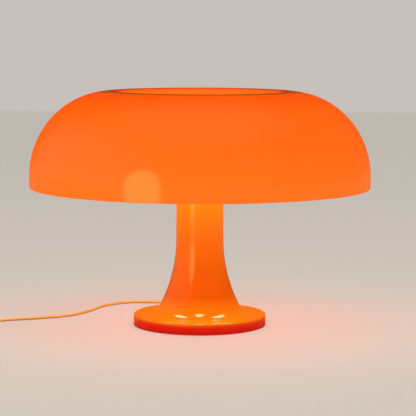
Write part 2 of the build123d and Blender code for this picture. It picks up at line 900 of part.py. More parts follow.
def plug_prongs():
    face = tail_end.Y + PLUG_BOOT_L + PLUG_L
    outline = turned(
        (0, -PRONG_ROOT_L),
        (PRONG_ROOT_R, -PRONG_ROOT_L),
        (PRONG_ROOT_R, 0),
        (PRONG_R, 0),
        (PRONG_R, PRONG_L - 0.8),
        (PRONG_R - 0.8, PRONG_L),
        (0, PRONG_L),
    )
    return group(
        Pos(tail_end.X + x, face, plug_z) * Rot(-90, 0, 0) * outline
        for x in (-PRONG_SPACING / 2, PRONG_SPACING / 2)
    )


# ---- Nodes ----------------------------------------------------------------------------------

nodes["stem_and_foot"] = stem_and_foot()
nodes["base_ballast"] = ballast()
nodes["base_cover"] = base_cover()
nodes["base_cover_screws"] = cover_screws()
nodes["foot_pads"] = foot_pads()
nodes["cord_grommet"] = cord_grommet()
nodes["cord_clamp"] = cord_clamp()
nodes["cord_clamp_screws"] = clamp_screws()
nodes["terminal_ring"] = terminal_ring()
nodes["terminal_screws"] = terminal_screws()
nodes["inner_lead"] = inner_lead()
nodes["holder_wires"] = holder_wires()
nodes["tie_rod"] = tie_rod()
nodes["tie_rod_nuts"] = rod_nuts()
nodes["tie_rod_washers"] = rod_washers()
nodes["lamp_carrier"] = lamp_carrier()
nodes["holder_nipples"] = nipples()
nodes["holder_nuts"] = nipple_nuts()
for side, angle in SIDES.items():
    nodes[f"holder_body_{side}"] = outward(angle) * holder_body()
    nodes[f"holder_shell_{side}"] = outward(angle) * holder_shell()
    nodes[f"holder_contact_{side}"] = outward(angle) * holder_contact()
    nodes[f"bulb_tip_{side}"] = outward(angle) * bulb_tip()
    nodes[f"bulb_cap_{side}"] = outward(angle) * bulb_cap()
    nodes[f"bulb_glass_{side}"] = outward(angle) * bulb_glass()
nodes["shade"] = shade()
nodes["shade_support"] = shade_support()
nodes["shade_gaskets"] = shade_gaskets()
nodes["shade_cap_disc"] = cap_disc()
nodes["knob_insert"] = knob_insert()
nodes["knob"] = knob()
nodes["cord_to_switch"] = cord_to_switch()
nodes["cord_from_switch"] = cord_from_switch()
nodes["switch_base"] = switch_base()
nodes["switch_cover"] = switch_cover()
nodes["switch_screws"] = switch_screws()
nodes["switch_terminals"] = switch_terminals()
nodes["switch_rocker_pin"] = rocker_pin()
nodes["switch_rocker"] = rocker()
nodes["cord_coil"] = cord_coil()
nodes["plug_body"] = plug_body()
nodes["plug_prongs"] = plug_prongs()

os.makedirs("parts", exist_ok=True)
for name, shape in nodes.items():
    export_step(shape, f"parts/{name}.step")
print(len(nodes), "nodes")
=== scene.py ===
# %% [markdown]
# # A mushroom table lamp
#
# The lamp is two big orange mouldings, four globe bulbs and a thin cord. This lesson dresses its
# CAD model, which is loaded first and never moved. A piece that looks better as a smooth mesh is
# modelled here and stands in for its CAD node. The others keep their CAD shape and get a finish.

import json
from math import asin, atan2, cos, degrees, hypot, pi, radians, sin, sqrt, tan

import bmesh
import bpy
from mathutils import Matrix, Vector


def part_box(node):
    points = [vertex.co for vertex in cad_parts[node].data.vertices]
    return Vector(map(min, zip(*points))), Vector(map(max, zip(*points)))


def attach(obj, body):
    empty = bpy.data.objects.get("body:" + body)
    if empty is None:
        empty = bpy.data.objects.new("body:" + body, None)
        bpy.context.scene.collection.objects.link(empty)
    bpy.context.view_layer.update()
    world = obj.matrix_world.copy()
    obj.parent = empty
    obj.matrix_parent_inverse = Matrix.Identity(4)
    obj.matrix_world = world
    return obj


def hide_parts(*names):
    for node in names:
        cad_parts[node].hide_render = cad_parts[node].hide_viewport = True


MM = 0.001
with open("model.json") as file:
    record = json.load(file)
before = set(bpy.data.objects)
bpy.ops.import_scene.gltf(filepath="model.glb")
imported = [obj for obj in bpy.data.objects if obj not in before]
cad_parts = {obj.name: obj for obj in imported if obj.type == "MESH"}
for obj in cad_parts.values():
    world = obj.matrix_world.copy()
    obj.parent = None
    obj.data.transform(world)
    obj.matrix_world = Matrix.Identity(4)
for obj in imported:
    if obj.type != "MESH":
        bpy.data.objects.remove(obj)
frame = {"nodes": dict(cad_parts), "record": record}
scene = bpy.context.scene
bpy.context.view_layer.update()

# %% [markdown]
# The camera stands at the height of a seated viewer and looks slightly down with a long lens, so
# the shade's rim is a flat ellipse and its crest a thin line. Its place was found by matching the
# rim, the crest and the foot of the lamp with the photograph.

# %% Camera
CAMERA_AT = Vector((0, -1.5804, 0.2812))
LENS_MM = 145.9
SENSOR_MM = 36
LOOKS_DOWN = radians(6.148)
TURNED_RIGHT = radians(0.275)
ROLLED = radians(0.2)

camera_data = bpy.data.cameras.new("camera")
camera_data.lens = LENS_MM
camera_data.sensor_width = SENSOR_MM
camera = bpy.data.objects.new("camera", camera_data)
camera.location = CAMERA_AT
aim = Matrix.Rotation(-TURNED_RIGHT, 3, "Z") @ Matrix.Rotation(pi / 2 - LOOKS_DOWN, 3, "X")
camera.rotation_euler = (aim @ Matrix.Rotation(ROLLED, 3, "Z")).to_euler()
scene.collection.objects.link(camera)
scene.camera = camera
scene.view_settings.view_transform = "Standard"
print("camera:", round(CAMERA_AT.length, 3), "m away, lens", LENS_MM, "mm")


# %% [markdown]
# Colours are written as they look on a screen, in sRGB hex, and a function turns them into the
# linear numbers that shaders use. Another adds a node, sets it and links it.


# %% Helpers for materials
def colour(hex_code, alpha=1.0):
    """A linear colour from an sRGB hex code such as "ff7022"."""
    parts = [int(hex_code[n : n + 2], 16) / 255 for n in (0, 2, 4)]
    linear = [p / 12.92 if p <= 0.04045 else ((p + 0.055) / 1.055) ** 2.4 for p in parts]
    return (*linear, alpha)


def add(tree, kind, inputs=(), stops=(), **settings):
    """A new node. Each input is a value, a socket to link, or a node, whose first output is
    linked. The stops of a colour ramp are pairs of a place from 0 to 1 and a hex colour."""
    node = tree.nodes.new("ShaderNode" + kind)
    for name, value in settings.items():
        setattr(node, name, value)
    for name, value in dict(inputs).items():
        if isinstance(value, bpy.types.Node):
            value = value.outputs[0]
        if isinstance(value, bpy.types.NodeSocket):
            tree.links.new(value, node.inputs[name])
        else:
            node.inputs[name].default_value = value
    if stops:
        elements = node.color_ramp.elements
        while len(elements) < len(stops):
            elements.new(0.5)
        for element, (where, hex_code) in zip(elements, stops):
            element.position = where
            element.color = colour(hex_code)
    return node


def new_material(name):
    """A material, and its empty node tree."""
    material = bpy.data.materials.new(name)
    material.use_nodes = True
    material.node_tree.nodes.clear()
    print("material:", name)
    return material, material.node_tree


# %% [markdown]
# ## Stage and light
#
# A plain pale floor and a pale room show the lamp as in a catalogue. A broad lamp overhead gives
# the even light, and its image is kept out of the gloss, as a photographer would do with a flag.
# A tall soft window at the left front does show: it draws the arched patch low on the shade and
# the line down the stem. Gloss sees another room than the camera does. Its walls are warm and dim,
# paler on the left and towards the ceiling, because glowing plastic looks deep only when it
# mirrors something darker than itself.


# %% Floor
def as_object(bm, name):
    """Makes a bmesh an object in the scene."""
    mesh = bpy.data.meshes.new(name)
    bm.to_mesh(mesh)
    bm.free()
    obj = bpy.data.objects.new(name, mesh)
    scene.collection.objects.link(obj)
    return obj


FLOOR_SIZE = 8.0
FLOOR_LIFT = 0.42

bm = bmesh.new()
bmesh.ops.create_grid(bm, x_segments=1, y_segments=1, size=FLOOR_SIZE / 2)
floor = as_object(bm, "floor")

painted_board, tree = new_material("painted_board")
diffuse = add(tree, "BsdfDiffuse", {"Color": colour("8f8a84")})
seen = add(tree, "LightPath").outputs["Is Camera Ray"]
pale = add(tree, "Emission", {"Color": colour("fffaf2"), "Strength": FLOOR_LIFT})
lifted = add(tree, "AddShader", {0: diffuse, 1: pale})
mixed = add(tree, "MixShader", {0: seen, 1: diffuse, 2: lifted})
add(tree, "OutputMaterial", {"Surface": mixed})
floor.data.materials.append(painted_board)

# %% World
FILL = 0.35
BACKDROP = 0.82

world = bpy.data.worlds.new("pale_room")
scene.world = world
world.use_nodes = True
tree = world.node_tree
tree.nodes.clear()
ray = add(tree, "LightPath").outputs
way = add(tree, "SeparateXYZ", {"Vector": add(tree, "TexCoord").outputs["Generated"]}).outputs
rising = add(tree, "ValToRGB", {"Fac": way["Z"]}, [(0.7, "6a3d1e"), (0.93, "90826f")])
to_left = add(tree, "MapRange", {"Value": way["X"], "From Min": -0.5, "From Max": -0.85})
walls = {0: to_left, 6: rising, 7: colour("988a7a")}  # a colour Mix has its colours at 6 and 7
mirrored = add(tree, "Mix", walls, data_type="RGBA").outputs[2]

fill = add(tree, "Background", {"Color": colour("fff0e0"), "Strength": FILL})
in_gloss = add(tree, "Background", {"Color": mirrored, "Strength": 1.0})
behind = add(tree, "Background", {"Color": colour("d8d3cc"), "Strength": BACKDROP})
unseen = add(tree, "MixShader", {0: ray["Is Glossy Ray"], 1: fill, 2: in_gloss})
mixed = add(tree, "MixShader", {0: ray["Is Camera Ray"], 1: unseen, 2: behind})
add(tree, "OutputWorld", {"Surface": mixed})
print("world nodes:", len(tree.nodes))


# %% Lamps
def soft_lamp(name, place, towards, size, watts, tint, shape="RECTANGLE", in_gloss=True):
    """An area lamp that points at a place."""
    data = bpy.data.lights.new(name, "AREA")
    data.shape = shape
    data.size, data.size_y = size
    data.energy = watts
    data.color = colour(tint)[:3]
    lamp = bpy.data.objects.new(name, data)
    lamp.location = place
    lamp.rotation_euler = (Vector(towards) - Vector(place)).to_track_quat("-Z", "Y").to_euler()
    lamp.visible_glossy = in_gloss
    scene.collection.objects.link(lamp)
    print("lamp:", name, watts, "W")


WINDOW_TURN = radians(35)
WINDOW_AWAY = 1.0
WINDOW_Z = 0.10
WINDOW_SIZE = (0.41, 0.70)
OVERHEAD_AT = (0.1, -0.4, 1.6)
OVERHEAD_SIZE = (1.4, 1.4)
window_at = (-WINDOW_AWAY * sin(WINDOW_TURN), -WINDOW_AWAY * cos(WINDOW_TURN), WINDOW_Z)
soft_lamp("window", window_at, (0, 0, WINDOW_Z), WINDOW_SIZE, 2.15, "ffdd80", "ELLIPSE")
soft_lamp("overhead", OVERHEAD_AT, (0, 0, 0), OVERHEAD_SIZE, 12, "fff4e6", in_gloss=False)


# %% [markdown]
# ## Shapes that are turned about an axis
#
# Most of this lamp is round: shade, stem, bulbs, holders and knob. A bmesh draws half of the
# outline with one vertex that is extruded along a line or spun round the centre of an arc. Then
# the whole outline is spun round the axis. That is how a turner or a mould maker thinks of it.


# %% Draw an outline from lines and arcs
SAME = 0.01 * MM  # points this close are one


def outline(bm, start, heading, steps, arc_step=4.0):
    """Lines (length, 0) and arcs (radius, turn) in the XZ plane. A left turn is positive."""
    first = tip = bm.verts.new((start[0], 0, start[1]))
    angle = radians(heading)
    for size, turn in steps:
        if turn == 0:
            made = bmesh.ops.extrude_vert_indiv(bm, verts=[tip])
            tip = made["verts"][0]
            tip.co += Vector((cos(angle), 0, sin(angle))) * size
            continue
        side = 1 if turn > 0 else -1
        centre = tip.co + Vector((-sin(angle), 0, cos(angle))) * size * side
        count = max(2, round(abs(turn) / arc_step))
        made = bmesh.ops.spin(
            bm, geom=[tip], cent=centre, axis=(0, -1, 0), angle=radians(turn), steps=count
        )
        tip = [v for v in made["geom_last"] if isinstance(v, bmesh.types.BMVert)][0]
        angle += radians(turn)
    return first


def join(bm, corners, closed=False):
    """Straight runs through (radius, height) corners."""
    verts = [bm.verts.new((r, 0, z)) for r, z in corners]
    for a, b in zip(verts, verts[1:]):
        bm.edges.new((a, b))
    if closed:
        bm.edges.new((verts[-1], verts[0]))


def spin_round(bm, segments):
    """Spins the whole outline once round the Z axis, and closes the seam and the poles."""
    geom = bm.verts[:] + bm.edges[:]
    about = {"cent": (0, 0, 0), "axis": (0, 0, 1), "angle": 2 * pi}
    bmesh.ops.spin(bm, geom=geom, steps=segments, use_merge=True, **about)
    bmesh.ops.remove_doubles(bm, verts=bm.verts, dist=SAME)
    bmesh.ops.recalc_face_normals(bm, faces=bm.faces)


# %% [markdown]
# A finished bmesh becomes a piece: it is shaded smooth, its real corners stay sharp, and it rides
# on the body that it moves with. Small edges are rounded first, because no moulded or turned edge
# is a knife edge, and a rounded one catches a line of light.

# %% Finish a bmesh as a piece
ROUNDED = {"profile": 0.5, "affect": "EDGES", "material": -1}


def edges_over(bm, angle):
    """The edges whose two faces meet at more than an angle."""
    return [e for e in bm.edges if len(e.link_faces) == 2 and e.calc_face_angle() > radians(angle)]


def soften(bm, width, over=30, segments=2):
    """Rounds every edge over an angle."""
    sharp = edges_over(bm, over)
    bmesh.ops.bevel(bm, geom=sharp, offset=width, segments=segments, clamp_overlap=True, **ROUNDED)


def piece(bm, name, body="lamp", sharp=35):
    """The bmesh as an object that rides on a body."""
    bmesh.ops.recalc_face_normals(bm, faces=bm.faces)
    for face in bm.faces:
        face.smooth = True
    for edge in edges_over(bm, sharp):
        edge.smooth = False
    obj = as_object(bm, name)
    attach(obj, body)
    print("piece:", name, "on", body, "faces:", len(obj.data.polygons))
    return obj


def move(bm, place):
    """Puts a bmesh in its place."""
    bmesh.ops.transform(bm, matrix=place, verts=bm.verts)


def turned(corners, segments=48, edge=0.25 * MM):
    """A turned shape with soft edges, from the corners of its half section."""
    bm = bmesh.new()
    join(bm, corners, closed=corners[0][0] > 0)
    spin_round(bm, segments)
    soften(bm, edge)
    return bm


pieces_of = {}


def finish_with(slot, *objs):
    """Notes that pieces take the finish of a material slot."""
    for obj in objs:
        pieces_of.setdefault(slot, []).append(obj)


# %% [markdown]
# ## The shade
#
# The shade is moulded in one piece from translucent ABS, 2.5 mm thick. Its skirt is almost
# upright, the shoulder and crown are two arcs, and at the crest it rolls over into a bowl whose
# flat middle sits on the rod. The outer skin is spun from those arcs, a Solidify modifier gives it
# the wall inwards, so the outside keeps its size, and a Bevel rounds the rim.


# %% Shade
WALL = 2.5 * MM
RIM_ROUND = 0.8 * MM
SKIRT = 10.6 * MM
SHOULDER_R = 81.2 * MM
SHOULDER_TURN = 39.6
CROWN_R = 76.4 * MM
LIP_R = 12.0 * MM
LIP_TURN = 60.0
LIP_RUN = 14.0 * MM
BOWL_R = 36.0 * MM
ROD_CLEAR_R = 4.3 * MM
FINE = 2.5  # degrees of arc for each facet of a big moulding
shade_low, shade_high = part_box("shade")

shoulder_in = SHOULDER_R * (1 - cos(radians(SHOULDER_TURN)))
crest_r = shade_high.x - shoulder_in - CROWN_R * cos(radians(SHOULDER_TURN))
bowl_in = (LIP_R + BOWL_R) * sin(radians(LIP_TURN)) + LIP_RUN * cos(radians(LIP_TURN))
seat_r = crest_r - bowl_in


def add_wall(obj, thickness, rim):
    """Gives an open skin its wall, and rounds the new edges without bending its shading."""
    wall = obj.modifiers.new("wall", "SOLIDIFY")
    wall.thickness = thickness
    wall.offset = -1
    wall.use_even_offset = True
    rounded = obj.modifiers.new("rim", "BEVEL")
    rounded.width = rim
    rounded.segments = 3
    rounded.limit_method = "ANGLE"
    rounded.angle_limit = radians(60)
    rounded.harden_normals = True


bm = bmesh.new()
shade_steps = [
    (SKIRT, 0),
    (SHOULDER_R, SHOULDER_TURN),
    (CROWN_R, 90 - SHOULDER_TURN),
    (LIP_R, LIP_TURN),
    (LIP_RUN, 0),
    (BOWL_R, -LIP_TURN),
    (seat_r - ROD_CLEAR_R, 0),
]
outline(bm, (shade_high.x, shade_low.z), 90, shade_steps, FINE)
spin_round(bm, 192)
shade = piece(bm, "shade_moulding", sharp=60)
add_wall(shade, WALL, RIM_ROUND)
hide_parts("shade")
finish_with("shade_abs", shade)
print("shade crest radius:", round(crest_r, 4), "seat radius:", round(seat_r, 4))

# %% [markdown]
# ## Stem and foot
#
# The stem and its round foot are one moulding too, without a seam. Going down, a long slow arc
# widens the tube, a tight one turns it out into the foot, and a small one rounds the edge. The wall
# goes straight down to just above the surface.

# %% Stem and foot
STEM_R = 22.3 * MM
STEM_WALL = 2.4 * MM
FLARE_R = 138.0 * MM
FLARE_TURN = 27.6
FILLET_R = 13.4 * MM
FOOT_TOP = 10.9 * MM
FOOT_EDGE_R = 1.4 * MM
FOOT_RIM_ROUND = 0.3 * MM
foot_low, foot_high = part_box("stem_and_foot")

flare_drop = FLARE_R * sin(radians(FLARE_TURN)) + FILLET_R * (1 - sin(radians(FLARE_TURN)))
flare_out = FLARE_R * (1 - cos(radians(FLARE_TURN))) + FILLET_R * cos(radians(FLARE_TURN))

bm = bmesh.new()
stem_steps = [
    (foot_high.z - FOOT_TOP - flare_drop, 0),
    (FLARE_R, FLARE_TURN),
    (FILLET_R, 90 - FLARE_TURN),
    (foot_high.x - FOOT_EDGE_R - STEM_R - flare_out, 0),
    (FOOT_EDGE_R, -90),
    (FOOT_TOP - FOOT_EDGE_R - foot_low.z, 0),
]
outline(bm, (STEM_R, foot_high.z), 270, stem_steps, FINE)
spin_round(bm, 160)
stem = piece(bm, "stem_and_foot_moulding", sharp=60)
add_wall(stem, STEM_WALL, FOOT_RIM_ROUND)
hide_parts("stem_and_foot")
finish_with("orange_abs", stem)


# %% [markdown]
# ## Under the foot
#
# Four rubber pads keep the lamp from sliding and scratching. Three countersunk screws with a cross
# recess hold the black cover, which keeps its CAD shape. The cross is cut with a Boolean, the
# way the real one is punched.

# %% Pads
PADS = 4
PAD_R = 6.0 * MM
PAD_T = 1.2 * MM
PAD_ROUND = 0.4 * MM
PAD_CIRCLE_R = 46.0 * MM
pads = []
for n in range(PADS):
    bm = turned([(0, 0), (PAD_R, 0), (PAD_R, PAD_T), (0, PAD_T)], 36, PAD_ROUND)
    turn = Matrix.Rotation(2 * pi * n / PADS, 4, "Z")
    move(bm, turn @ Matrix.Translation((PAD_CIRCLE_R, 0, 0)))
    pads.append(piece(bm, f"foot_pad_{n + 1}"))
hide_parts("foot_pads")
finish_with("rubber", *pads)


# %% Cut shapes out of a bmesh
def block(size, centre):
    """A closed box."""
    bm = bmesh.new()
    bmesh.ops.create_cube(bm, size=1)
    bmesh.ops.scale(bm, vec=Vector(size), verts=bm.verts)
    bmesh.ops.translate(bm, vec=Vector(centre), verts=bm.verts)
    return bm


def peg(radius, length, place):
    """A closed round peg along its own Z, centred on its place."""
    bm = bmesh.new()
    round_size = {"segments": 32, "radius1": radius, "radius2": radius, "depth": length}
    bmesh.ops.create_cone(bm, cap_ends=True, **round_size)
    move(bm, place)
    return bm


def carve(bm, cutters):
    """The bmesh less its cutters, as a new bmesh."""
    blank = as_object(bm, "blank")
    tools = [as_object(cutter, "cutter") for cutter in cutters]
    for tool in tools:
        cut = blank.modifiers.new("cut", "BOOLEAN")
        cut.object = tool
        cut.operation = "DIFFERENCE"
    depsgraph = bpy.context.evaluated_depsgraph_get()
    carved = bmesh.new()
    carved.from_mesh(blank.evaluated_get(depsgraph).to_mesh())
    for obj in (blank, *tools):
        bpy.data.objects.remove(obj)
    bmesh.ops.remove_doubles(carved, verts=carved.verts, dist=0.5 * SAME)
    return carved


# %% Countersunk screws
SCREW_R = 1.5 * MM
HEAD_R = 2.8 * MM
HEAD_T = 1.7 * MM
CROSS_L = 3.2 * MM
CROSS_W = 0.8 * MM
CROSS_H = 1.6 * MM  # half of it cuts


def screw_under(name, x, y, face_z, length):
    """A screw that points up, with its flat head and cross recess facing down at face_z."""
    corners = [(0, 0), (HEAD_R, 0), (SCREW_R, HEAD_T), (SCREW_R, length), (0, length)]
    bm = turned(corners, 32, 0.1 * MM)
    move(bm, Matrix.Translation((x, y, face_z)))
    cross = [(CROSS_L, CROSS_W, CROSS_H), (CROSS_W, CROSS_L, CROSS_H)]
    return piece(carve(bm, [block(size, (x, y, face_z)) for size in cross]), name)


COVER_SCREWS = 3
COVER_SCREW_L = 5 * MM
COVER_CIRCLE_R = 38.0 * MM
FIRST_SCREW_AT = 30
COVER_LOW = 1.2 * MM
cover_screws = []
for n in range(COVER_SCREWS):
    turn = radians(FIRST_SCREW_AT + 360 * n / COVER_SCREWS)
    x, y = COVER_CIRCLE_R * cos(turn), COVER_CIRCLE_R * sin(turn)
    cover_screws.append(screw_under(f"cover_screw_{n + 1}", x, y, COVER_LOW, COVER_SCREW_L))
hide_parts("base_cover_screws")
finish_with("steel", *cover_screws)

# %% [markdown]
# ## Bulbs
#
# Four opal globe bulbs point outwards from the stem. Each is a ball on a cone that runs down to
# the neck. The cap below it is a rolled screw thread, which one wavy line makes when it is spun
# and lifted by one pitch a turn. Everything is made upright and then laid over to point outwards.

# %% Where the bulbs are
SIDES = {"right": 0, "back": 90, "left": 180, "front": 270}
NECK_R = 8.2 * MM
CAP_R = 6.9 * MM
GLASS_R = 22.5 * MM
cap_from, neck_at = (corner.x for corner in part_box("bulb_cap_right"))
glass_low, glass_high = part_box("bulb_glass_right")
glass_end = glass_high.x
bulb_z = (glass_low.z + glass_high.z) / 2


def outwards(angle):
    """Lays a shape made along Z so that it points out from the stem at the bulbs' height."""
    lay_over = Matrix.Rotation(radians(angle), 4, "Z") @ Matrix.Rotation(pi / 2, 4, "Y")
    return Matrix.Translation((0, 0, bulb_z)) @ lay_over


print("bulb axis at height", round(bulb_z, 4), "glass ends at", round(glass_end, 4))

# %% Bulb glass
ball_at = glass_end - GLASS_R
to_ball = hypot(NECK_R, ball_at - neck_at)
cone = sqrt(to_ball**2 - GLASS_R**2)
slope = degrees(atan2(ball_at - neck_at, -NECK_R) - asin(GLASS_R / to_ball))

for side, angle in SIDES.items():
    bm = bmesh.new()
    first = outline(bm, (NECK_R, neck_at), slope, [(cone, 0), (GLASS_R, 180 - slope)])
    bm.edges.new((bm.verts.new((0, 0, neck_at)), first))
    spin_round(bm, 48)
    move(bm, outwards(angle))
    glass = piece(bm, f"bulb_globe_{side}", f"bulb_{side}")
    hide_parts(f"bulb_glass_{side}")
    finish_with("opal_glass", glass)


# %% Rolled thread
PITCH = 2.82 * MM
TURN_STEPS = 24
WAVE_STEPS = 6


def threaded_wall(radius, low, high, depth):
    """One wave of the wall is spun up by a pitch a turn, and trimmed flat at low and high."""
    bm = bmesh.new()
    wave = []
    for k in range(WAVE_STEPS + 1):
        hollow = depth * (1 - cos(2 * pi * k / WAVE_STEPS)) / 2
        wave.append(bm.verts.new((radius - hollow, 0, low - PITCH + PITCH * k / WAVE_STEPS)))
    edges = [bm.edges.new(pair) for pair in zip(wave, wave[1:])]
    turns = round((high - low) / PITCH + 2)
    about = {"cent": (0, 0, 0), "axis": (0, 0, 1), "dvec": (0, 0, PITCH / TURN_STEPS)}
    steps = TURN_STEPS * turns
    bmesh.ops.spin(bm, geom=wave + edges, angle=2 * pi * turns, steps=steps, **about)
    bmesh.ops.remove_doubles(bm, verts=bm.verts, dist=2 * SAME)
    for level, up in ((low, -1), (high, 1)):
        geom = bm.verts[:] + bm.edges[:] + bm.faces[:]
        plane = {"plane_co": (0, 0, level), "plane_no": (0, 0, up), "clear_outer": True}
        made = bmesh.ops.bisect_plane(bm, geom=geom, dist=0.1 * SAME, **plane)
        rim = [e for e in made["geom_cut"] if isinstance(e, bmesh.types.BMEdge)]
        bmesh.ops.edgeloop_fill(bm, edges=rim)
    return bm


# %% Bulb caps
THREAD_DEPTH = 0.55 * MM
THREAD_TO_NECK = 3.5 * MM
COLLAR_L = 3.6 * MM
COLLAR_RIM = 2 * MM
INSULATOR_L = 2.5 * MM
INSULATOR_END_R = 2.4 * MM
wall_from = cap_from + INSULATOR_L
collar_from = neck_at - COLLAR_L
collar_corners = [
    (0, collar_from),
    (CAP_R - 0.3 * MM, collar_from),
    (NECK_R, neck_at - COLLAR_RIM),
    (NECK_R, neck_at),
    (0, neck_at),
]
insulator_corners = [
    (0, cap_from),
    (INSULATOR_END_R, cap_from),
    (CAP_R - 0.5 * MM, wall_from),
    (0, wall_from),
]

for side, angle in SIDES.items():
    shapes = {
        "thread": threaded_wall(CAP_R, wall_from, neck_at - THREAD_TO_NECK, THREAD_DEPTH),
        "collar": turned(collar_corners, 40),
        "insulator": turned(insulator_corners, 32),
    }
    for part, bm in shapes.items():
        move(bm, outwards(angle))
        obj = piece(bm, f"bulb_{part}_{side}", f"bulb_{side}")
        finish_with("holder_plastic" if part == "insulator" else "cap_brass", obj)
        if part == "thread":
            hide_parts(f"bulb_cap_{side}")

# %% [markdown]
# ## Lamp holders
#
# Each bulb screws into a moulded holder: a plain barrel with a parting groove, and a grip of
# shallow flutes near the mouth. The flutes are every second face of the barrel, pushed in. Two
# small holes below let the wires in.

# %% Outline of a lamp holder
HOLDER_R = 13.0 * MM
HOLDER_CHAMFER = 2 * MM
BORE_R = 7.62 * MM
BORE_FROM = 10.5 * MM
NIPPLE_HOLE_R = 5.06 * MM
NIPPLE_DEPTH = 6 * MM
GROOVE_AT = 11 * MM
GROOVE_DEPTH = 0.6 * MM
MOUTH_R = NECK_R + 1 * MM
MOUTH_ROUND = 0.8 * MM
holder_back, holder_mouth = (corner.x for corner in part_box("holder_body_right"))
groove = holder_back + GROOVE_AT
grip_low = groove + 4 * MM
grip_high = holder_mouth - 3 * MM

holder_corners = [
    (0, holder_back + NIPPLE_DEPTH),
    (NIPPLE_HOLE_R, holder_back + NIPPLE_DEPTH),
    (NIPPLE_HOLE_R, holder_back),
    (HOLDER_R - HOLDER_CHAMFER, holder_back),
    (HOLDER_R, holder_back + HOLDER_CHAMFER),
    (HOLDER_R, groove),
    (HOLDER_R - GROOVE_DEPTH, groove + 0.3 * MM),
    (HOLDER_R - GROOVE_DEPTH, groove + 1.0 * MM),
    (HOLDER_R, groove + 1.3 * MM),
    (HOLDER_R, grip_low),
    (HOLDER_R, grip_high),
    (HOLDER_R, holder_mouth - MOUTH_ROUND),
    (HOLDER_R - MOUTH_ROUND, holder_mouth),
    (MOUTH_R, holder_mouth),
    (MOUTH_R, holder_mouth - 2 * MM),
    (BORE_R, holder_mouth - 3.5 * MM),
    (BORE_R, holder_back + BORE_FROM),
    (0, holder_back + BORE_FROM),
]
print("holder from", round(holder_back, 4), "to", round(holder_mouth, 4))

# %% Lamp holders
AROUND = 72
WIRE_HOLE_R = 1.06 * MM
WIRE_HOLE_L = 4.2 * MM
WIRE_CIRCLE_R = 17.5 * MM
WIRE_SPACING = 6.0 * MM


def faces_at(bm, height, least_radius):
    """The faces centred at a height, outside a radius, each with its number round the axis."""
    found = []
    for face in bm.faces:
        middle = face.calc_center_median()
        if abs(middle.z - height) < 0.2 * MM and hypot(middle.x, middle.y) > least_radius:
            found.append((round(atan2(middle.y, middle.x) / (2 * pi / AROUND) - 0.5), face))
    return found


for side, angle in SIDES.items():
    bm = bmesh.new()
    join(bm, holder_corners)
    spin_round(bm, AROUND)
    grip = faces_at(bm, (grip_low + grip_high) / 2, HOLDER_R - 0.5 * MM)
    flutes = [face for number, face in grip if number % 2]
    bmesh.ops.inset_individual(bm, faces=flutes, thickness=0.25 * MM, depth=-0.35 * MM)
    move(bm, outwards(angle))
    out = Matrix.Rotation(radians(angle), 3, "Z") @ Vector((1, 0, 0))
    aside = Vector((-out.y, out.x, 0)) * WIRE_SPACING / 2
    below = out * WIRE_CIRCLE_R + Vector((0, 0, bulb_z - HOLDER_R))
    entries = [Matrix.Translation(below + aside), Matrix.Translation(below - aside)]
    bm = carve(bm, [peg(WIRE_HOLE_R, WIRE_HOLE_L, at) for at in entries])
    holder = piece(bm, f"holder_barrel_{side}")
    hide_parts(f"holder_body_{side}")
    finish_with("holder_plastic", holder)

# %% [markdown]
# ## Top of the lamp
#
# A hub carries the shade on a flat disc. In the bowl a second disc and a fluted knob hold the
# shade down, so that it comes off without tools when a bulb needs changing.

# %% Shade support and the disc in the bowl
HUB_R = 7.0 * MM
SUPPORT_T = 3.2 * MM
DISC_CHAMFER = 0.8 * MM
support_low, support_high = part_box("shade_support")
disc_low, disc_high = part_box("shade_cap_disc")
support_corners = [
    (ROD_CLEAR_R, support_low.z),
    (HUB_R, support_low.z),
    (HUB_R, support_high.z - SUPPORT_T),
    (support_high.x, support_high.z - SUPPORT_T),
    (support_high.x, support_high.z),
    (ROD_CLEAR_R, support_high.z),
]
disc_corners = [
    (ROD_CLEAR_R, disc_low.z),
    (disc_high.x, disc_low.z),
    (disc_high.x, disc_high.z - DISC_CHAMFER),
    (disc_high.x - DISC_CHAMFER, disc_high.z),
    (ROD_CLEAR_R, disc_high.z),
]
support = piece(turned(support_corners, 64, 0.4 * MM), "shade_support_hub")
disc = piece(turned(disc_corners, 72), "bowl_disc")
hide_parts("shade_support")
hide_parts("shade_cap_disc")
finish_with("white_plastic", support, disc)

# %% [markdown]
# The knob is a shallow dome on a tapered side. Two faces of its side out of three are pushed in,
# which leaves ribs for the fingers.

# %% Knob
KNOB_R = 11.0 * MM
KNOB_SIDE_H = 6.0 * MM
KNOB_WAIST_R = KNOB_R - 1.5 * MM
INSERT_HOLE_R = 5.66 * MM
INSERT_HOLE_H = 9 * MM
ROD_HOLE_H = 11.5 * MM
knob_low, knob_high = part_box("knob")
knob_foot = knob_low.z
knob_side = knob_foot + KNOB_SIDE_H
dome = knob_high.z - knob_foot - KNOB_SIDE_H
dome_r = (KNOB_R**2 + dome**2) / (2 * dome)
dome_turn = degrees(asin(KNOB_R / dome_r))

bm = bmesh.new()
outline(bm, (KNOB_R, knob_side), 180 - dome_turn, [(dome_r, dome_turn)], arc_step=5)
side_and_hole = [
    (KNOB_R, knob_side),
    (KNOB_WAIST_R, knob_foot),
    (INSERT_HOLE_R, knob_foot),
    (INSERT_HOLE_R, knob_foot + INSERT_HOLE_H),
    (ROD_CLEAR_R, knob_foot + INSERT_HOLE_H),
    (ROD_CLEAR_R, knob_foot + ROD_HOLE_H),
    (0, knob_foot + ROD_HOLE_H),
]
join(bm, side_and_hole)
spin_round(bm, AROUND)
side_faces = faces_at(bm, knob_foot + KNOB_SIDE_H / 2, KNOB_WAIST_R)
flutes = [face for number, face in side_faces if number % 3]
bmesh.ops.inset_individual(bm, faces=flutes, thickness=0.12 * MM, depth=-0.25 * MM)
knob = piece(bm, "bowl_knob", "knob_body", sharp=28)
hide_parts("knob")
finish_with("chrome", knob)

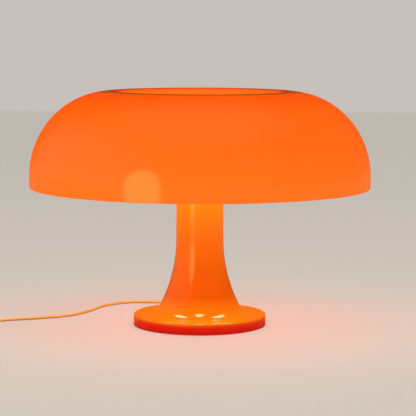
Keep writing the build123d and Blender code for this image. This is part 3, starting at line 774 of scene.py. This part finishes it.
# %% [markdown]
# ## The cord
#
# A thin two-core cord in soft PVC leaves a boot at the back of the foot, falls to the surface,
# and swings round to the left. Outside the picture it passes an in-line switch and the rest of it
# is put away in a small coil, with the plug beside it. Its line is one NURBS spline whose control
# points are listed one by one, because a limp cord has no straight runs and no sharp corners.

# %% Route of the cord to its switch, in metres
CORD_R = 1.3 * MM
boot_low, boot_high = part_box("cord_grommet")
boot_end = boot_high.y
exit_z = (boot_low.z + boot_high.z) / 2
switch_low, switch_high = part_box("switch_base")
switch_x = (switch_low.x + switch_high.x) / 2
switch_near, switch_far = switch_high.y, switch_low.y
switch_z = switch_high.z

route_to_switch = [
    (0, boot_end, exit_z),
    (0, boot_end + 0.009, exit_z),
    (-0.006, 0.109, 0.0021),
    (-0.021, 0.1185, CORD_R),
    (-0.044, 0.121, CORD_R),
    (-0.075, 0.122, CORD_R),
    (-0.098, 0.098, CORD_R),
    (-0.107, 0.067, CORD_R),
    (-0.126, 0.039, CORD_R),
    (-0.156, 0.024, CORD_R),
    (-0.187, 0.013, CORD_R),
    (-0.209, -0.003, CORD_R + 0.0006),
    (switch_x, switch_near + 0.012, switch_z),
    (switch_x, switch_near, switch_z),
]
print("points:", len(route_to_switch))

# %% [markdown]
# The coil is wound in four layers that spiral in and out again. Each half turn is a half circle,
# and the next one is half a step larger or smaller. The control points stand a little outside the
# circle that they make, because a NURBS curve passes inside its corners.

# %% Route of the coil
COIL_START_Y = -0.125
COIL_STEPS = 6
COIL_STEP = 2 * CORD_R + 0.55 * MM
COIL_MIDDLE_R = 11.6 * CORD_R
COIL_OUTER = COIL_MIDDLE_R + COIL_STEPS * COIL_STEP / 4
POINTS_A_HALF = 8


def coil_points():
    """The control points of the coil, and where its last half turn ends."""
    spiral = [(COIL_OUTER - k * COIL_STEP / 2, 0) for k in range(COIL_STEPS)]
    inner = [(COIL_OUTER - COIL_STEPS * COIL_STEP / 2, COIL_STEP)]
    in_and_out = spiral + inner + spiral[::-1]
    halves = in_and_out + [(COIL_OUTER + COIL_STEP / 2, COIL_STEP)] + in_and_out
    points, x, z, ahead = [], switch_x, CORD_R, -1
    for radius, climb in halves:
        centre = x + ahead * radius
        reach = radius / cos(pi / POINTS_A_HALF / 2)
        for n in range(POINTS_A_HALF):
            part = (n + 0.5) / POINTS_A_HALF
            lift = climb * (3 * part**2 - 2 * part**3)
            across = centre - ahead * reach * cos(pi * part)
            points.append((across, COIL_START_Y + ahead * reach * sin(pi * part), z + lift))
        x += ahead * 2 * radius
        z += climb
        ahead = -ahead
    return points, x, z


coil, coil_end_x, coil_end_z = coil_points()
print("coil points:", len(coil), "coil ends at height", round(coil_end_z, 4))

# %% Route from the switch to the plug
plug_low, plug_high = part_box("plug_body")
plug_tail_y = plug_low.y
plug_z = plug_high.z / 2

route_from_switch = [
    (switch_x, switch_far, switch_z),
    (switch_x, switch_far - 0.009, switch_z),
    (switch_x, COIL_START_Y + 0.0096, CORD_R),
    (switch_x, COIL_START_Y + 0.0026, CORD_R),
    *coil,
    (coil_end_x, COIL_START_Y + 0.003, coil_end_z),
    (coil_end_x, COIL_START_Y + 0.013, coil_end_z),
    (coil_end_x, COIL_START_Y + 0.020, coil_end_z),
    (coil_end_x, plug_tail_y - 0.010, plug_z),
    (coil_end_x, plug_tail_y - 0.0026, plug_z),
    (coil_end_x, plug_tail_y, plug_z),
    (coil_end_x, plug_tail_y + 0.022, plug_z),
]
print("points:", len(route_from_switch))


# %% Draw the cords
def cord_curve(name, points):
    """A round cord along a NURBS curve. Its points carry the radius, for a true size box."""
    data = bpy.data.curves.new(name, "CURVE")
    data.dimensions = "3D"
    data.bevel_depth = 1
    data.bevel_resolution = 4
    data.resolution_u = 6
    data.use_fill_caps = True
    spline = data.splines.new("NURBS")
    spline.points.add(len(points) - 1)
    for point, place in zip(spline.points, points):
        point.co = (*place, 1)
        point.radius = CORD_R
    spline.order_u = 3
    spline.use_endpoint_u = True
    obj = bpy.data.objects.new(name, data)
    scene.collection.objects.link(obj)
    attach(obj, "lamp")
    finish_with("clear_pvc", obj)
    print("piece:", name, "on lamp, length:", round(spline.calc_length(), 3))
    return obj


cord_near = cord_curve("cord_near", route_to_switch)
cord_far = cord_curve("cord_far", route_from_switch)
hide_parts("cord_to_switch")
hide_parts("cord_from_switch", "cord_coil")

# %% [markdown]
# Where the cord leaves the foot, a flanged bushing with a long tapered boot keeps it from bending
# sharply. Rings along the boot let it flex evenly.

# %% Bushing and boot
ALONG_Y = Matrix.Rotation(-pi / 2, 4, "X")
BOOT_L = 22.0 * MM
BOOT_FROM_R = 3.3 * MM
BOOT_END_R = 2.0 * MM
BOOT_END_ROUND = 0.3 * MM
SLEEVE_R = 2.4 * MM
FLANGE_T = 1.5 * MM
SHOULDER_T = 1.4 * MM
RINGS = 7


def ring(radius, start, length, widens, groove_to, groove_depth):
    """The corners of one ring of a boot and of the groove behind it."""
    groove_r = radius - groove_depth
    groove_from = start + length + 0.2 * MM
    crown = [(radius, start), (radius + widens, start + length)]
    return crown + [(groove_r, groove_from), (groove_r, start + groove_to)]


boot_from = boot_end - BOOT_L
flange_end = boot_low.y + FLANGE_T
corners = [
    (0, boot_low.y),
    (BOOT_FROM_R, boot_low.y),
    (BOOT_FROM_R, flange_end),
    (SLEEVE_R, flange_end),
    (SLEEVE_R, boot_from - SHOULDER_T),
    (BOOT_FROM_R, boot_from - SHOULDER_T),
]
for n in range(RINGS):
    radius = BOOT_FROM_R - (BOOT_FROM_R - BOOT_END_R) * n / RINGS
    start = boot_from + BOOT_L * n / RINGS
    corners += ring(radius, start, 1.9 * MM, -0.1 * MM, 2.8 * MM, 0.45 * MM)
corners += [
    (BOOT_END_R, boot_end - BOOT_END_ROUND),
    (BOOT_END_R - BOOT_END_ROUND, boot_end),
    (0, boot_end),
]
bm = turned(corners, 32, 0.1 * MM)
move(bm, Matrix.Translation((0, 0, exit_z)) @ ALONG_Y)
boot = piece(bm, "cord_boot")
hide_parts("cord_grommet")
finish_with("clear_pvc", boot)

# %% [markdown]
# ## In-line switch
#
# The switch is two half shells round a rocker. Each shell is a box whose upright edges get a large
# radius and whose outer rim gets a smaller one, the way the tool is milled. Its open face is inset
# by the wall and pushed in, which makes it a tray. The window and the line between the shells are
# real gaps.

# %% Lower shell of the switch
SWITCH_H = 16.0 * MM
SWITCH_WALL = 1.8 * MM
SWITCH_ROUND = 3.0 * MM
SEAM_CHAMFER = 0.25 * MM
SCREW_AT = 21.0 * MM
HEAD_HOLE_R = HEAD_R + 0.06 * MM
HEAD_HOLE_CUT = 1.2 * MM
switch_y = (switch_near + switch_far) / 2
screw_ys = (switch_y - SCREW_AT, switch_y + SCREW_AT)


def tray(outer, open_face):
    """A rounded tray between two heights."""
    low, high = sorted((outer, open_face))
    inwards = 1 if open_face > outer else -1
    size = (switch_high.x - switch_low.x, switch_near - switch_far, high - low)
    bm = block(size, (switch_x, switch_y, (low + high) / 2))
    upright = [e for e in bm.edges if abs((e.verts[0].co - e.verts[1].co).z) > 1 * MM]
    bmesh.ops.bevel(bm, geom=upright, offset=SWITCH_ROUND, segments=6, **ROUNDED)
    top = [f for f in bm.faces if abs(f.calc_center_median().z - open_face) < SAME]
    bmesh.ops.inset_region(bm, faces=top, thickness=SWITCH_WALL)
    sunk = bmesh.ops.extrude_discrete_faces(bm, faces=top)["faces"]
    corners = list({v for f in sunk for v in f.verts})
    inside = (0, 0, -inwards * (high - low - SWITCH_WALL))
    bmesh.ops.translate(bm, vec=inside, verts=corners)
    for level, width, segments in ((outer, SWITCH_ROUND / 2, 4), (open_face, SEAM_CHAMFER, 1)):
        rim = []
        for edge in edges_over(bm, 60):
            if all(abs(v.co.z - level) < SAME for v in edge.verts):
                rim.append(edge)
        bmesh.ops.bevel(bm, geom=rim, offset=width, segments=segments, **ROUNDED)
    return bm


heads = [peg(HEAD_HOLE_R, HEAD_HOLE_CUT, Matrix.Translation((switch_x, y, 0))) for y in screw_ys]
base = piece(carve(tray(0, switch_z), heads), "switch_shell_low")

# %% Upper shell and screws
ROCKER_W = 9.0 * MM
ROCKER_L = 20.0 * MM
ROCKER_GAP = 0.6 * MM
WINDOW_CUT = 6 * MM
SWITCH_SCREW_L = 12 * MM
SWITCH_SCREW_Z = 0.4 * MM

window_size = (ROCKER_W + ROCKER_GAP, ROCKER_L + ROCKER_GAP, WINDOW_CUT)
window = block(window_size, (switch_x, switch_y, SWITCH_H))
cover = piece(carve(tray(SWITCH_H, switch_z), [window]), "switch_shell_high")
switch_screws = [
    screw_under(f"switch_screw_{n + 1}", switch_x, y, SWITCH_SCREW_Z, SWITCH_SCREW_L)
    for n, y in enumerate(screw_ys)
]
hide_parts("switch_base")
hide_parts("switch_cover")
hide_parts("switch_screws")
finish_with("white_plastic", base, cover)
finish_with("steel", *switch_screws)

# %% [markdown]
# The rocker's two flats meet in a shallow valley over its pivot, and its ends are round about the
# pivot, so that the gap to the window stays the same as it tips.

# %% Rocker
ROCKER_TILT = radians(8)
ROCKER_CROWN = 3.0 * MM
ROCKER_KEEL = 4.0 * MM
PIVOT_HOLE_R = 1.06 * MM
pivot = Vector((switch_x, switch_y, SWITCH_H - SWITCH_WALL))
end_rise = ROCKER_CROWN + ROCKER_L / 2 * tan(ROCKER_TILT) - 0.14 * MM
half_outline = [
    (sqrt((ROCKER_L / 2) ** 2 - end_rise**2), end_rise),
    (9.55 * MM, 2.95 * MM),
    (9.72 * MM, 2.3 * MM),
    (9.0 * MM, 1 * MM - ROCKER_KEEL),
    (3.0 * MM, -ROCKER_KEEL),
]
around = [(0, ROCKER_CROWN), *half_outline, *[(-y, z) for y, z in reversed(half_outline)]]

bm = bmesh.new()
rim = [bm.verts.new((-ROCKER_W / 2, y, z)) for y, z in around]
made = bmesh.ops.extrude_face_region(bm, geom=[bm.faces.new(rim)])
moved = [v for v in made["geom"] if isinstance(v, bmesh.types.BMVert)]
bmesh.ops.translate(bm, vec=(ROCKER_W, 0, 0), verts=moved)
bmesh.ops.recalc_face_normals(bm, faces=bm.faces)
soften(bm, 0.3 * MM, over=25)
bm = carve(bm, [peg(PIVOT_HOLE_R, 2 * ROCKER_W, Matrix.Rotation(pi / 2, 4, "Y"))])
move(bm, Matrix.Translation(pivot) @ Matrix.Rotation(ROCKER_TILT, 4, "X"))
rocker = piece(bm, "switch_rocker_cap", "rocker")
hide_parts("switch_rocker")
finish_with("rocker_plastic", rocker)

# %% [markdown]
# ## Plug
#
# A flat two-pin plug is moulded onto the cord. Its body is a box that narrows towards the cord,
# with all edges rounded and three finger grooves on each flat side. The pins are brass, and their
# first half is sleeved in plastic, so that a half pulled plug is safe to touch.

# %% Plug body
PLUG_TAIL_W = 11.0 * MM
PLUG_BOOT_L = 18.0 * MM
PLUG_ROUND = 2.0 * MM
BAND_W = 2.2 * MM
FIRST_BAND = 0.45  # of the length
GROOVE = 0.5 * MM
plug_back = plug_tail_y + PLUG_BOOT_L
plug_face = plug_high.y
plug_x = (plug_low.x + plug_high.x) / 2
plug_w = plug_high.x - plug_low.x
plug_l = plug_face - plug_back

bm = block((plug_w, plug_l, 2 * plug_z), (plug_x, (plug_back + plug_face) / 2, plug_z))
bands = [plug_back + FIRST_BAND * plug_l + n * BAND_W for n in range(7)]
for y in bands:
    geom = bm.verts[:] + bm.edges[:] + bm.faces[:]
    bmesh.ops.bisect_plane(bm, geom=geom, plane_co=(0, y, 0), plane_no=(0, 1, 0))
tail = [v for v in bm.verts if v.co.y < plug_back + 0.1 * MM]
about_tail = Matrix.Translation((-plug_x, 0, 0))
bmesh.ops.scale(bm, vec=(PLUG_TAIL_W / plug_w, 1, 1), space=about_tail, verts=tail)
soften(bm, PLUG_ROUND, over=60, segments=4)
for low, high in zip(bands[1::2], bands[2::2]):
    strip = []
    for face in bm.faces:
        if low < face.calc_center_median().y < high and abs(face.normal.z) > 0.99:
            strip.append(face)
    bmesh.ops.inset_individual(bm, faces=strip, thickness=GROOVE, depth=-GROOVE)
plug = piece(bm, "plug_moulding")

# %% Boot of the plug
PLUG_RINGS = 5
TAIL_R = CORD_R + 0.7 * MM
TAIL_WIDENS = 2.4 * MM
RING_PITCH = 3.4 * MM
ROOT_R = 4.4 * MM
root_end = PLUG_BOOT_L + 2 * MM
corners = [(0, 0), (TAIL_R, 0)]
for n in range(PLUG_RINGS):
    start = n * RING_PITCH + 0.6 * MM
    radius = TAIL_R + TAIL_WIDENS * start / PLUG_BOOT_L
    corners += ring(radius, start, 1.6 * MM, 0.2 * MM, 2.9 * MM, 0.3 * MM)
corners += [(ROOT_R, PLUG_BOOT_L - 0.2 * MM), (ROOT_R, root_end), (0, root_end)]
bm = turned(corners, 32, 0.12 * MM)
move(bm, Matrix.Translation((plug_x, plug_tail_y, plug_z)) @ ALONG_Y)
plug_boot = piece(bm, "plug_boot")
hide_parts("plug_body")
finish_with("white_plastic", plug, plug_boot)

# %% Pins
PIN_R = 2.0 * MM
PIN_L = 19.0 * MM
PIN_SPACING = 18.8 * MM
SLEEVE_L = 10.0 * MM
pin_corners = [
    (0, SLEEVE_L - 1 * MM),
    (PIN_R - 0.1 * MM, SLEEVE_L - 1 * MM),
    (PIN_R, SLEEVE_L + 0.2 * MM),
    (PIN_R, PIN_L - 1.2 * MM),
    (PIN_R - 0.5 * MM, PIN_L - 0.3 * MM),
    (PIN_R - 1.1 * MM, PIN_L),
    (0, PIN_L),
]
sleeve_corners = [(0, -0.5 * MM), (PIN_R, -0.5 * MM), (PIN_R - 0.15 * MM, SLEEVE_L), (0, SLEEVE_L)]
pin_parts = [("pin", pin_corners, "brass"), ("sleeve", sleeve_corners, "white_plastic")]
plug_parts = []
for n, x in enumerate((plug_x - PIN_SPACING / 2, plug_x + PIN_SPACING / 2)):
    for part, corners, slot in pin_parts:
        bm = turned(corners, 32, 0.15 * MM)
        move(bm, Matrix.Translation((x, plug_face, plug_z)) @ ALONG_Y)
        plug_parts.append(piece(bm, f"plug_{part}_{n + 1}"))
        finish_with(slot, plug_parts[-1])
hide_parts("plug_prongs")

on_the_cord = [plug, plug_boot, *plug_parts, base, cover, rocker, *switch_screws]
on_the_cord += ["switch_rocker_pin", "switch_terminals"]
print("pieces on the long cord:", len(on_the_cord))

# %% [markdown]
# ## Orange ABS
#
# ABS is a tough plastic that leaves a polished mould with a high gloss and a faint orange peel.
# This one is dyed through and lets light pass. The shader is a glossy Principled one with
# subsurface light, and an emission on top of it paints the glow that the bulbs' light gives
# through the wall: painted glow, not a lamp. Glow and colour follow the height on the lamp and
# paint light and shade there: the shade lighter low down and redder towards the crest, the foot
# lit on top and in dark red painted shade at its rim, the stem brighter towards the shade. Round
# the shade's opening they follow the distance from the axis: the bowl is a bright painted glow,
# and the fold of the lip is painted shade, thick and dark red.

# %% Moulded ABS
PEEL = 7.14 * MM  # coarser than real orange peel, so that it shows
# between these radii the lip's stops paint a bright glow in the bowl and painted shade on the fold
LIP_FROM_R = 66.0 * MM
LIP_TO_R = 100.0 * MM
lip_blend_r = crest_r + 9 * MM


def moulded_abs(name, body, glow, heights, strength, scatter, lip=()):
    """Glossy translucent ABS whose emission is a painted glow for the bulbs' light through the
    wall.
    The stops of body and glow run up between two heights and paint light and shade by height.
    Those of a lip run out from the axis, paint the bright bowl and the dark fold, and then the
    glow takes over."""
    material, tree = new_material(name)
    place = add(tree, "TexCoord").outputs["Object"]
    up = add(tree, "SeparateXYZ", {"Vector": place}).outputs["Z"]
    share = add(tree, "MapRange", {"Value": up, "From Min": heights[0], "From Max": heights[1]})
    painted_glow_colour = add(tree, "ValToRGB", {"Fac": share}, glow)
    if lip:
        flat = add(tree, "VectorMath", {0: place, 1: (1, 1, 0)}, operation="MULTIPLY")
        radius = add(tree, "VectorMath", {0: flat}, operation="LENGTH").outputs["Value"]
        across = {"Value": radius, "From Min": LIP_FROM_R, "From Max": LIP_TO_R}
        lip_painted_colour = add(tree, "ValToRGB", {"Fac": add(tree, "MapRange", across)}, lip)
        across["From Min"] = lip_blend_r
        both = {0: add(tree, "MapRange", across), 6: lip_painted_colour, 7: painted_glow_colour}
        painted_glow_colour = add(tree, "Mix", both, data_type="RGBA").outputs[2]
    peel = add(tree, "TexNoise", {"Vector": place, "Scale": 1 / PEEL, "Detail": 1})
    relief = {"Height": peel, "Strength": 0.03, "Distance": 0.4 * MM}
    surface = {
        "Base Color": add(tree, "ValToRGB", {"Fac": share}, body),
        "Roughness": 0.12,
        "IOR": 1.54,
        "Subsurface Weight": scatter,
        "Subsurface Radius": (1.0, 0.22, 0.05),
        "Subsurface Scale": 4 * MM,
        # the emission is painted glow, standing in for the bulbs' light through the wall
        "Emission Color": painted_glow_colour,
        "Emission Strength": strength,
        "Normal": add(tree, "Bump", relief),
    }
    add(tree, "OutputMaterial", {"Surface": add(tree, "BsdfPrincipled", surface)})
    return material


# %% Shade and stem in ABS
finishes = {}
# Shade stops by height: the body is the moulding's own orange, with painted shade darkening the
# very crest. The glow is painted glow, lighter low down and deeper red towards the crest. The lip's
# stops paint a bright glow in the bowl and dark red painted shade along the fold.
shade_colour_and_painted_shade = [(0.0, "f26412"), (0.985, "f2600c"), (1.0, "cc3806")]
shade_painted_glow = [
    (0.0, "ff7c20"),
    (0.12, "ff7e20"),
    (0.31, "ff731e"),
    (0.63, "ff6416"),
    (0.82, "ff5904"),
    (1.0, "ff3600"),
]
shade_lip_painted_glow_and_shade = [
    (0.0, "ff7410"),
    (0.22, "ff7010"),
    (0.34, "c85208"),
    (0.39, "a80000"),
    (0.51, "b00400"),
    (0.60, "a03a00"),
    (0.74, "704900"),
    (1.0, "a05300"),
]
# Stem stops by height paint light and shade: dark red painted shade at the foot's rim, a painted
# bright band where the foot's top faces the bulbs, and a painted glow that grows up the stem
# towards the shade.
stem_colour_and_painted_shade = [
    (0.0, "a00800"),
    (0.05, "c81c00"),
    (0.08, "e06404"),
    (0.2, "cc5a04"),
    (0.4, "cc4c04"),
    (1.0, "ec6a08"),
]
stem_painted_glow = [
    (0.0, "c00000"),
    (0.03, "e00400"),
    (0.057, "d82a00"),
    (0.079, "c88c0a"),
    (0.145, "a88404"),
    (0.217, "985a04"),
    (0.3, "986204"),
    (0.45, "987204"),
    (0.61, "a87804"),
    (0.77, "c48f06"),
    (0.9, "c8a90c"),
]
of_shade = {"heights": (shade_low.z, shade_high.z), "strength": 0.62, "scatter": 0.5}
of_stem = {"heights": (0.0, foot_high.z), "strength": 0.5, "scatter": 0.3}
finishes["shade_abs"] = moulded_abs(
    "translucent_abs_shade_painted_glow", shade_colour_and_painted_shade, shade_painted_glow, lip=shade_lip_painted_glow_and_shade, **of_shade
)
finishes["orange_abs"] = moulded_abs("translucent_abs_stem_painted_glow_and_shade", stem_colour_and_painted_shade, stem_painted_glow, **of_stem)

# %% [markdown]
# ## Opal glass
#
# The bulbs are coated white inside, so the whole globe glows evenly. It is a white glossy surface
# that sends out light, a touch uneven where the coating is thinner. Its image in the gloss of the
# foot is made stronger than the light that it throws, because a lit bulb is far brighter than any
# screen.

# %% Opal glass
BULB_GLOW = 8.0
BULB_IMAGE = 18.0
COATING = 2.5 * MM

finishes["opal_glass"], tree = new_material("opal_bulb_glass")
place = add(tree, "TexCoord").outputs["Object"]
coating = add(tree, "TexNoise", {"Vector": place, "Scale": 1 / COATING, "Detail": 2})
in_gloss = add(tree, "LightPath").outputs["Is Glossy Ray"]
glow = add(tree, "MapRange", {"Value": in_gloss, "To Min": BULB_GLOW, "To Max": BULB_IMAGE})
surface = {
    "Base Color": colour("fff6e6"),
    "Roughness": 0.08,
    "IOR": 1.5,
    "Emission Color": add(tree, "ValToRGB", {"Fac": coating}, [(0.0, "ffdcae"), (1.0, "ffe6bf")]),
    "Emission Strength": glow,
}
add(tree, "OutputMaterial", {"Surface": add(tree, "BsdfPrincipled", surface)})


# %% [markdown]
# ## Small plastics
#
# White and ivory parts are moulded too. A fine mould texture, a few millimetres of slow colour
# drift and a slightly uneven gloss keep them from looking like paint.

# %% Moulded small parts
DRIFT = 16.7 * MM


def small_plastic(name, dark, light, roughness, grain, relief):
    """A moulded plastic that drifts between two near colours, with a fine grain in mm."""
    material, tree = new_material(name)
    place = add(tree, "TexCoord").outputs["Object"]
    drift = add(tree, "TexNoise", {"Vector": place, "Scale": 1 / DRIFT, "Detail": 2})
    fine = add(tree, "TexNoise", {"Vector": place, "Scale": 1 / (grain * MM), "Detail": 1})
    gloss = {"Value": fine, "To Min": roughness - 0.05, "To Max": roughness + 0.08}
    surface = {
        "Base Color": add(tree, "ValToRGB", {"Fac": drift}, [(0.35, dark), (0.65, light)]),
        "Roughness": add(tree, "MapRange", gloss),
        "IOR": 1.5,
        "Normal": add(tree, "Bump", {"Height": fine, "Strength": relief, "Distance": 0.1 * MM}),
    }
    add(tree, "OutputMaterial", {"Surface": add(tree, "BsdfPrincipled", surface)})
    return material


plastics = {
    "white_plastic": ("moulded_white_pvc", "dcd8d0", "e6e2da", 0.32, 0.6, 0.15),
    "rocker_plastic": ("polished_grey_abs", "b4b0a8", "c0bcb4", 0.2, 0.6, 0.05),
    "holder_plastic": ("moulded_thermoset", "d2ccbc", "dcd7c8", 0.4, 0.5, 0.2),
    "cover_board": ("pressed_fibreboard", "0c0c0c", "161514", 0.75, 0.4, 0.5),
    "rubber": ("moulded_rubber", "121212", "1a1a1a", 0.8, 0.3, 0.4),
    "wire_pvc": ("grey_wire_pvc", "a8a8ac", "b8b8bc", 0.45, 0.4, 0.1),
}
for slot, looks in plastics.items():
    finishes[slot] = small_plastic(*looks)

# %% [markdown]
# ## Cord PVC
#
# The cord and its boot are soft PVC over two pale cores. It is smooth and slightly translucent,
# so it takes on the warm light around it.

# %% Soft PVC
TWIST = 11.1 * MM

finishes["clear_pvc"], tree = new_material("soft_cord_pvc")
place = add(tree, "TexCoord").outputs["Object"]
cores = add(tree, "TexNoise", {"Vector": place, "Scale": 1 / TWIST, "Detail": 1})
surface = {
    "Base Color": add(tree, "ValToRGB", {"Fac": cores}, [(0.2, "f8d870"), (0.8, "fee27e")]),
    "Roughness": 0.3,
    "IOR": 1.53,
    "Subsurface Weight": 0.3,
    "Subsurface Radius": (1.0, 0.7, 0.4),
    "Subsurface Scale": 1.5 * MM,
}
add(tree, "OutputMaterial", {"Surface": add(tree, "BsdfPrincipled", surface)})


# %% [markdown]
# ## Metals
#
# Zinc plated steel is bright with soft highlights, brass is left as it comes from the die, the
# knob is chromed and polished, and the ballast is a rough iron casting. One function makes them
# all: two near colours, how rough they are, and the size and depth of what the surface shows.


# %% Metals
def metal(name, dark, light, roughness, spread, mark, relief):
    """A metal whose tone and gloss vary over marks of a size in mm."""
    material, tree = new_material(name)
    place = add(tree, "TexCoord").outputs["Object"]
    marks = add(tree, "TexNoise", {"Vector": place, "Scale": 1 / (mark * MM), "Detail": 4})
    gloss = {"Value": marks, "To Min": roughness - spread, "To Max": roughness + spread}
    surface = {
        "Base Color": add(tree, "ValToRGB", {"Fac": marks}, [(0.3, dark), (0.7, light)]),
        "Metallic": 1.0,
        "Roughness": add(tree, "MapRange", gloss),
        "Normal": add(tree, "Bump", {"Height": marks, "Strength": relief, "Distance": 0.2 * MM}),
    }
    add(tree, "OutputMaterial", {"Surface": add(tree, "BsdfPrincipled", surface)})
    return material


metals = {
    "steel": ("zinc_plated_steel", "a6a8ac", "c2c4c8", 0.34, 0.08, 3.0, 0.05),
    "brass": ("drawn_brass", "c9a34e", "dbb866", 0.28, 0.06, 2.0, 0.04),
    "cap_brass": ("nickel_plated_brass", "b8b2a0", "cfc9b8", 0.26, 0.06, 2.0, 0.04),
    "chrome": ("polished_chrome", "d2d4d8", "e0e2e6", 0.09, 0.03, 4.0, 0.01),
    "solder": ("tinned_solder", "9c9ea2", "b4b6ba", 0.4, 0.1, 1.0, 0.3),
    "ballast_iron": ("cast_iron", "2a2a2c", "3c3c3e", 0.7, 0.12, 1.5, 0.8),
}
for slot, looks in metals.items():
    finishes[slot] = metal(*looks)

# %% [markdown]
# Every new piece takes the finish of its slot, and every CAD node that still shows takes it in its
# own material slots.

# %% Put the finishes on
for slot, objs in pieces_of.items():
    for obj in objs:
        obj.data.materials.clear()
        obj.data.materials.append(finishes[slot])
for part in frame["record"]["subparts"]:
    for material_slot in frame["nodes"][part["node"]].material_slots:
        material_slot.material = finishes[part["material_slot"]]
print("finishes:", len(finishes), "new pieces:", sum(map(len, pieces_of.values())))
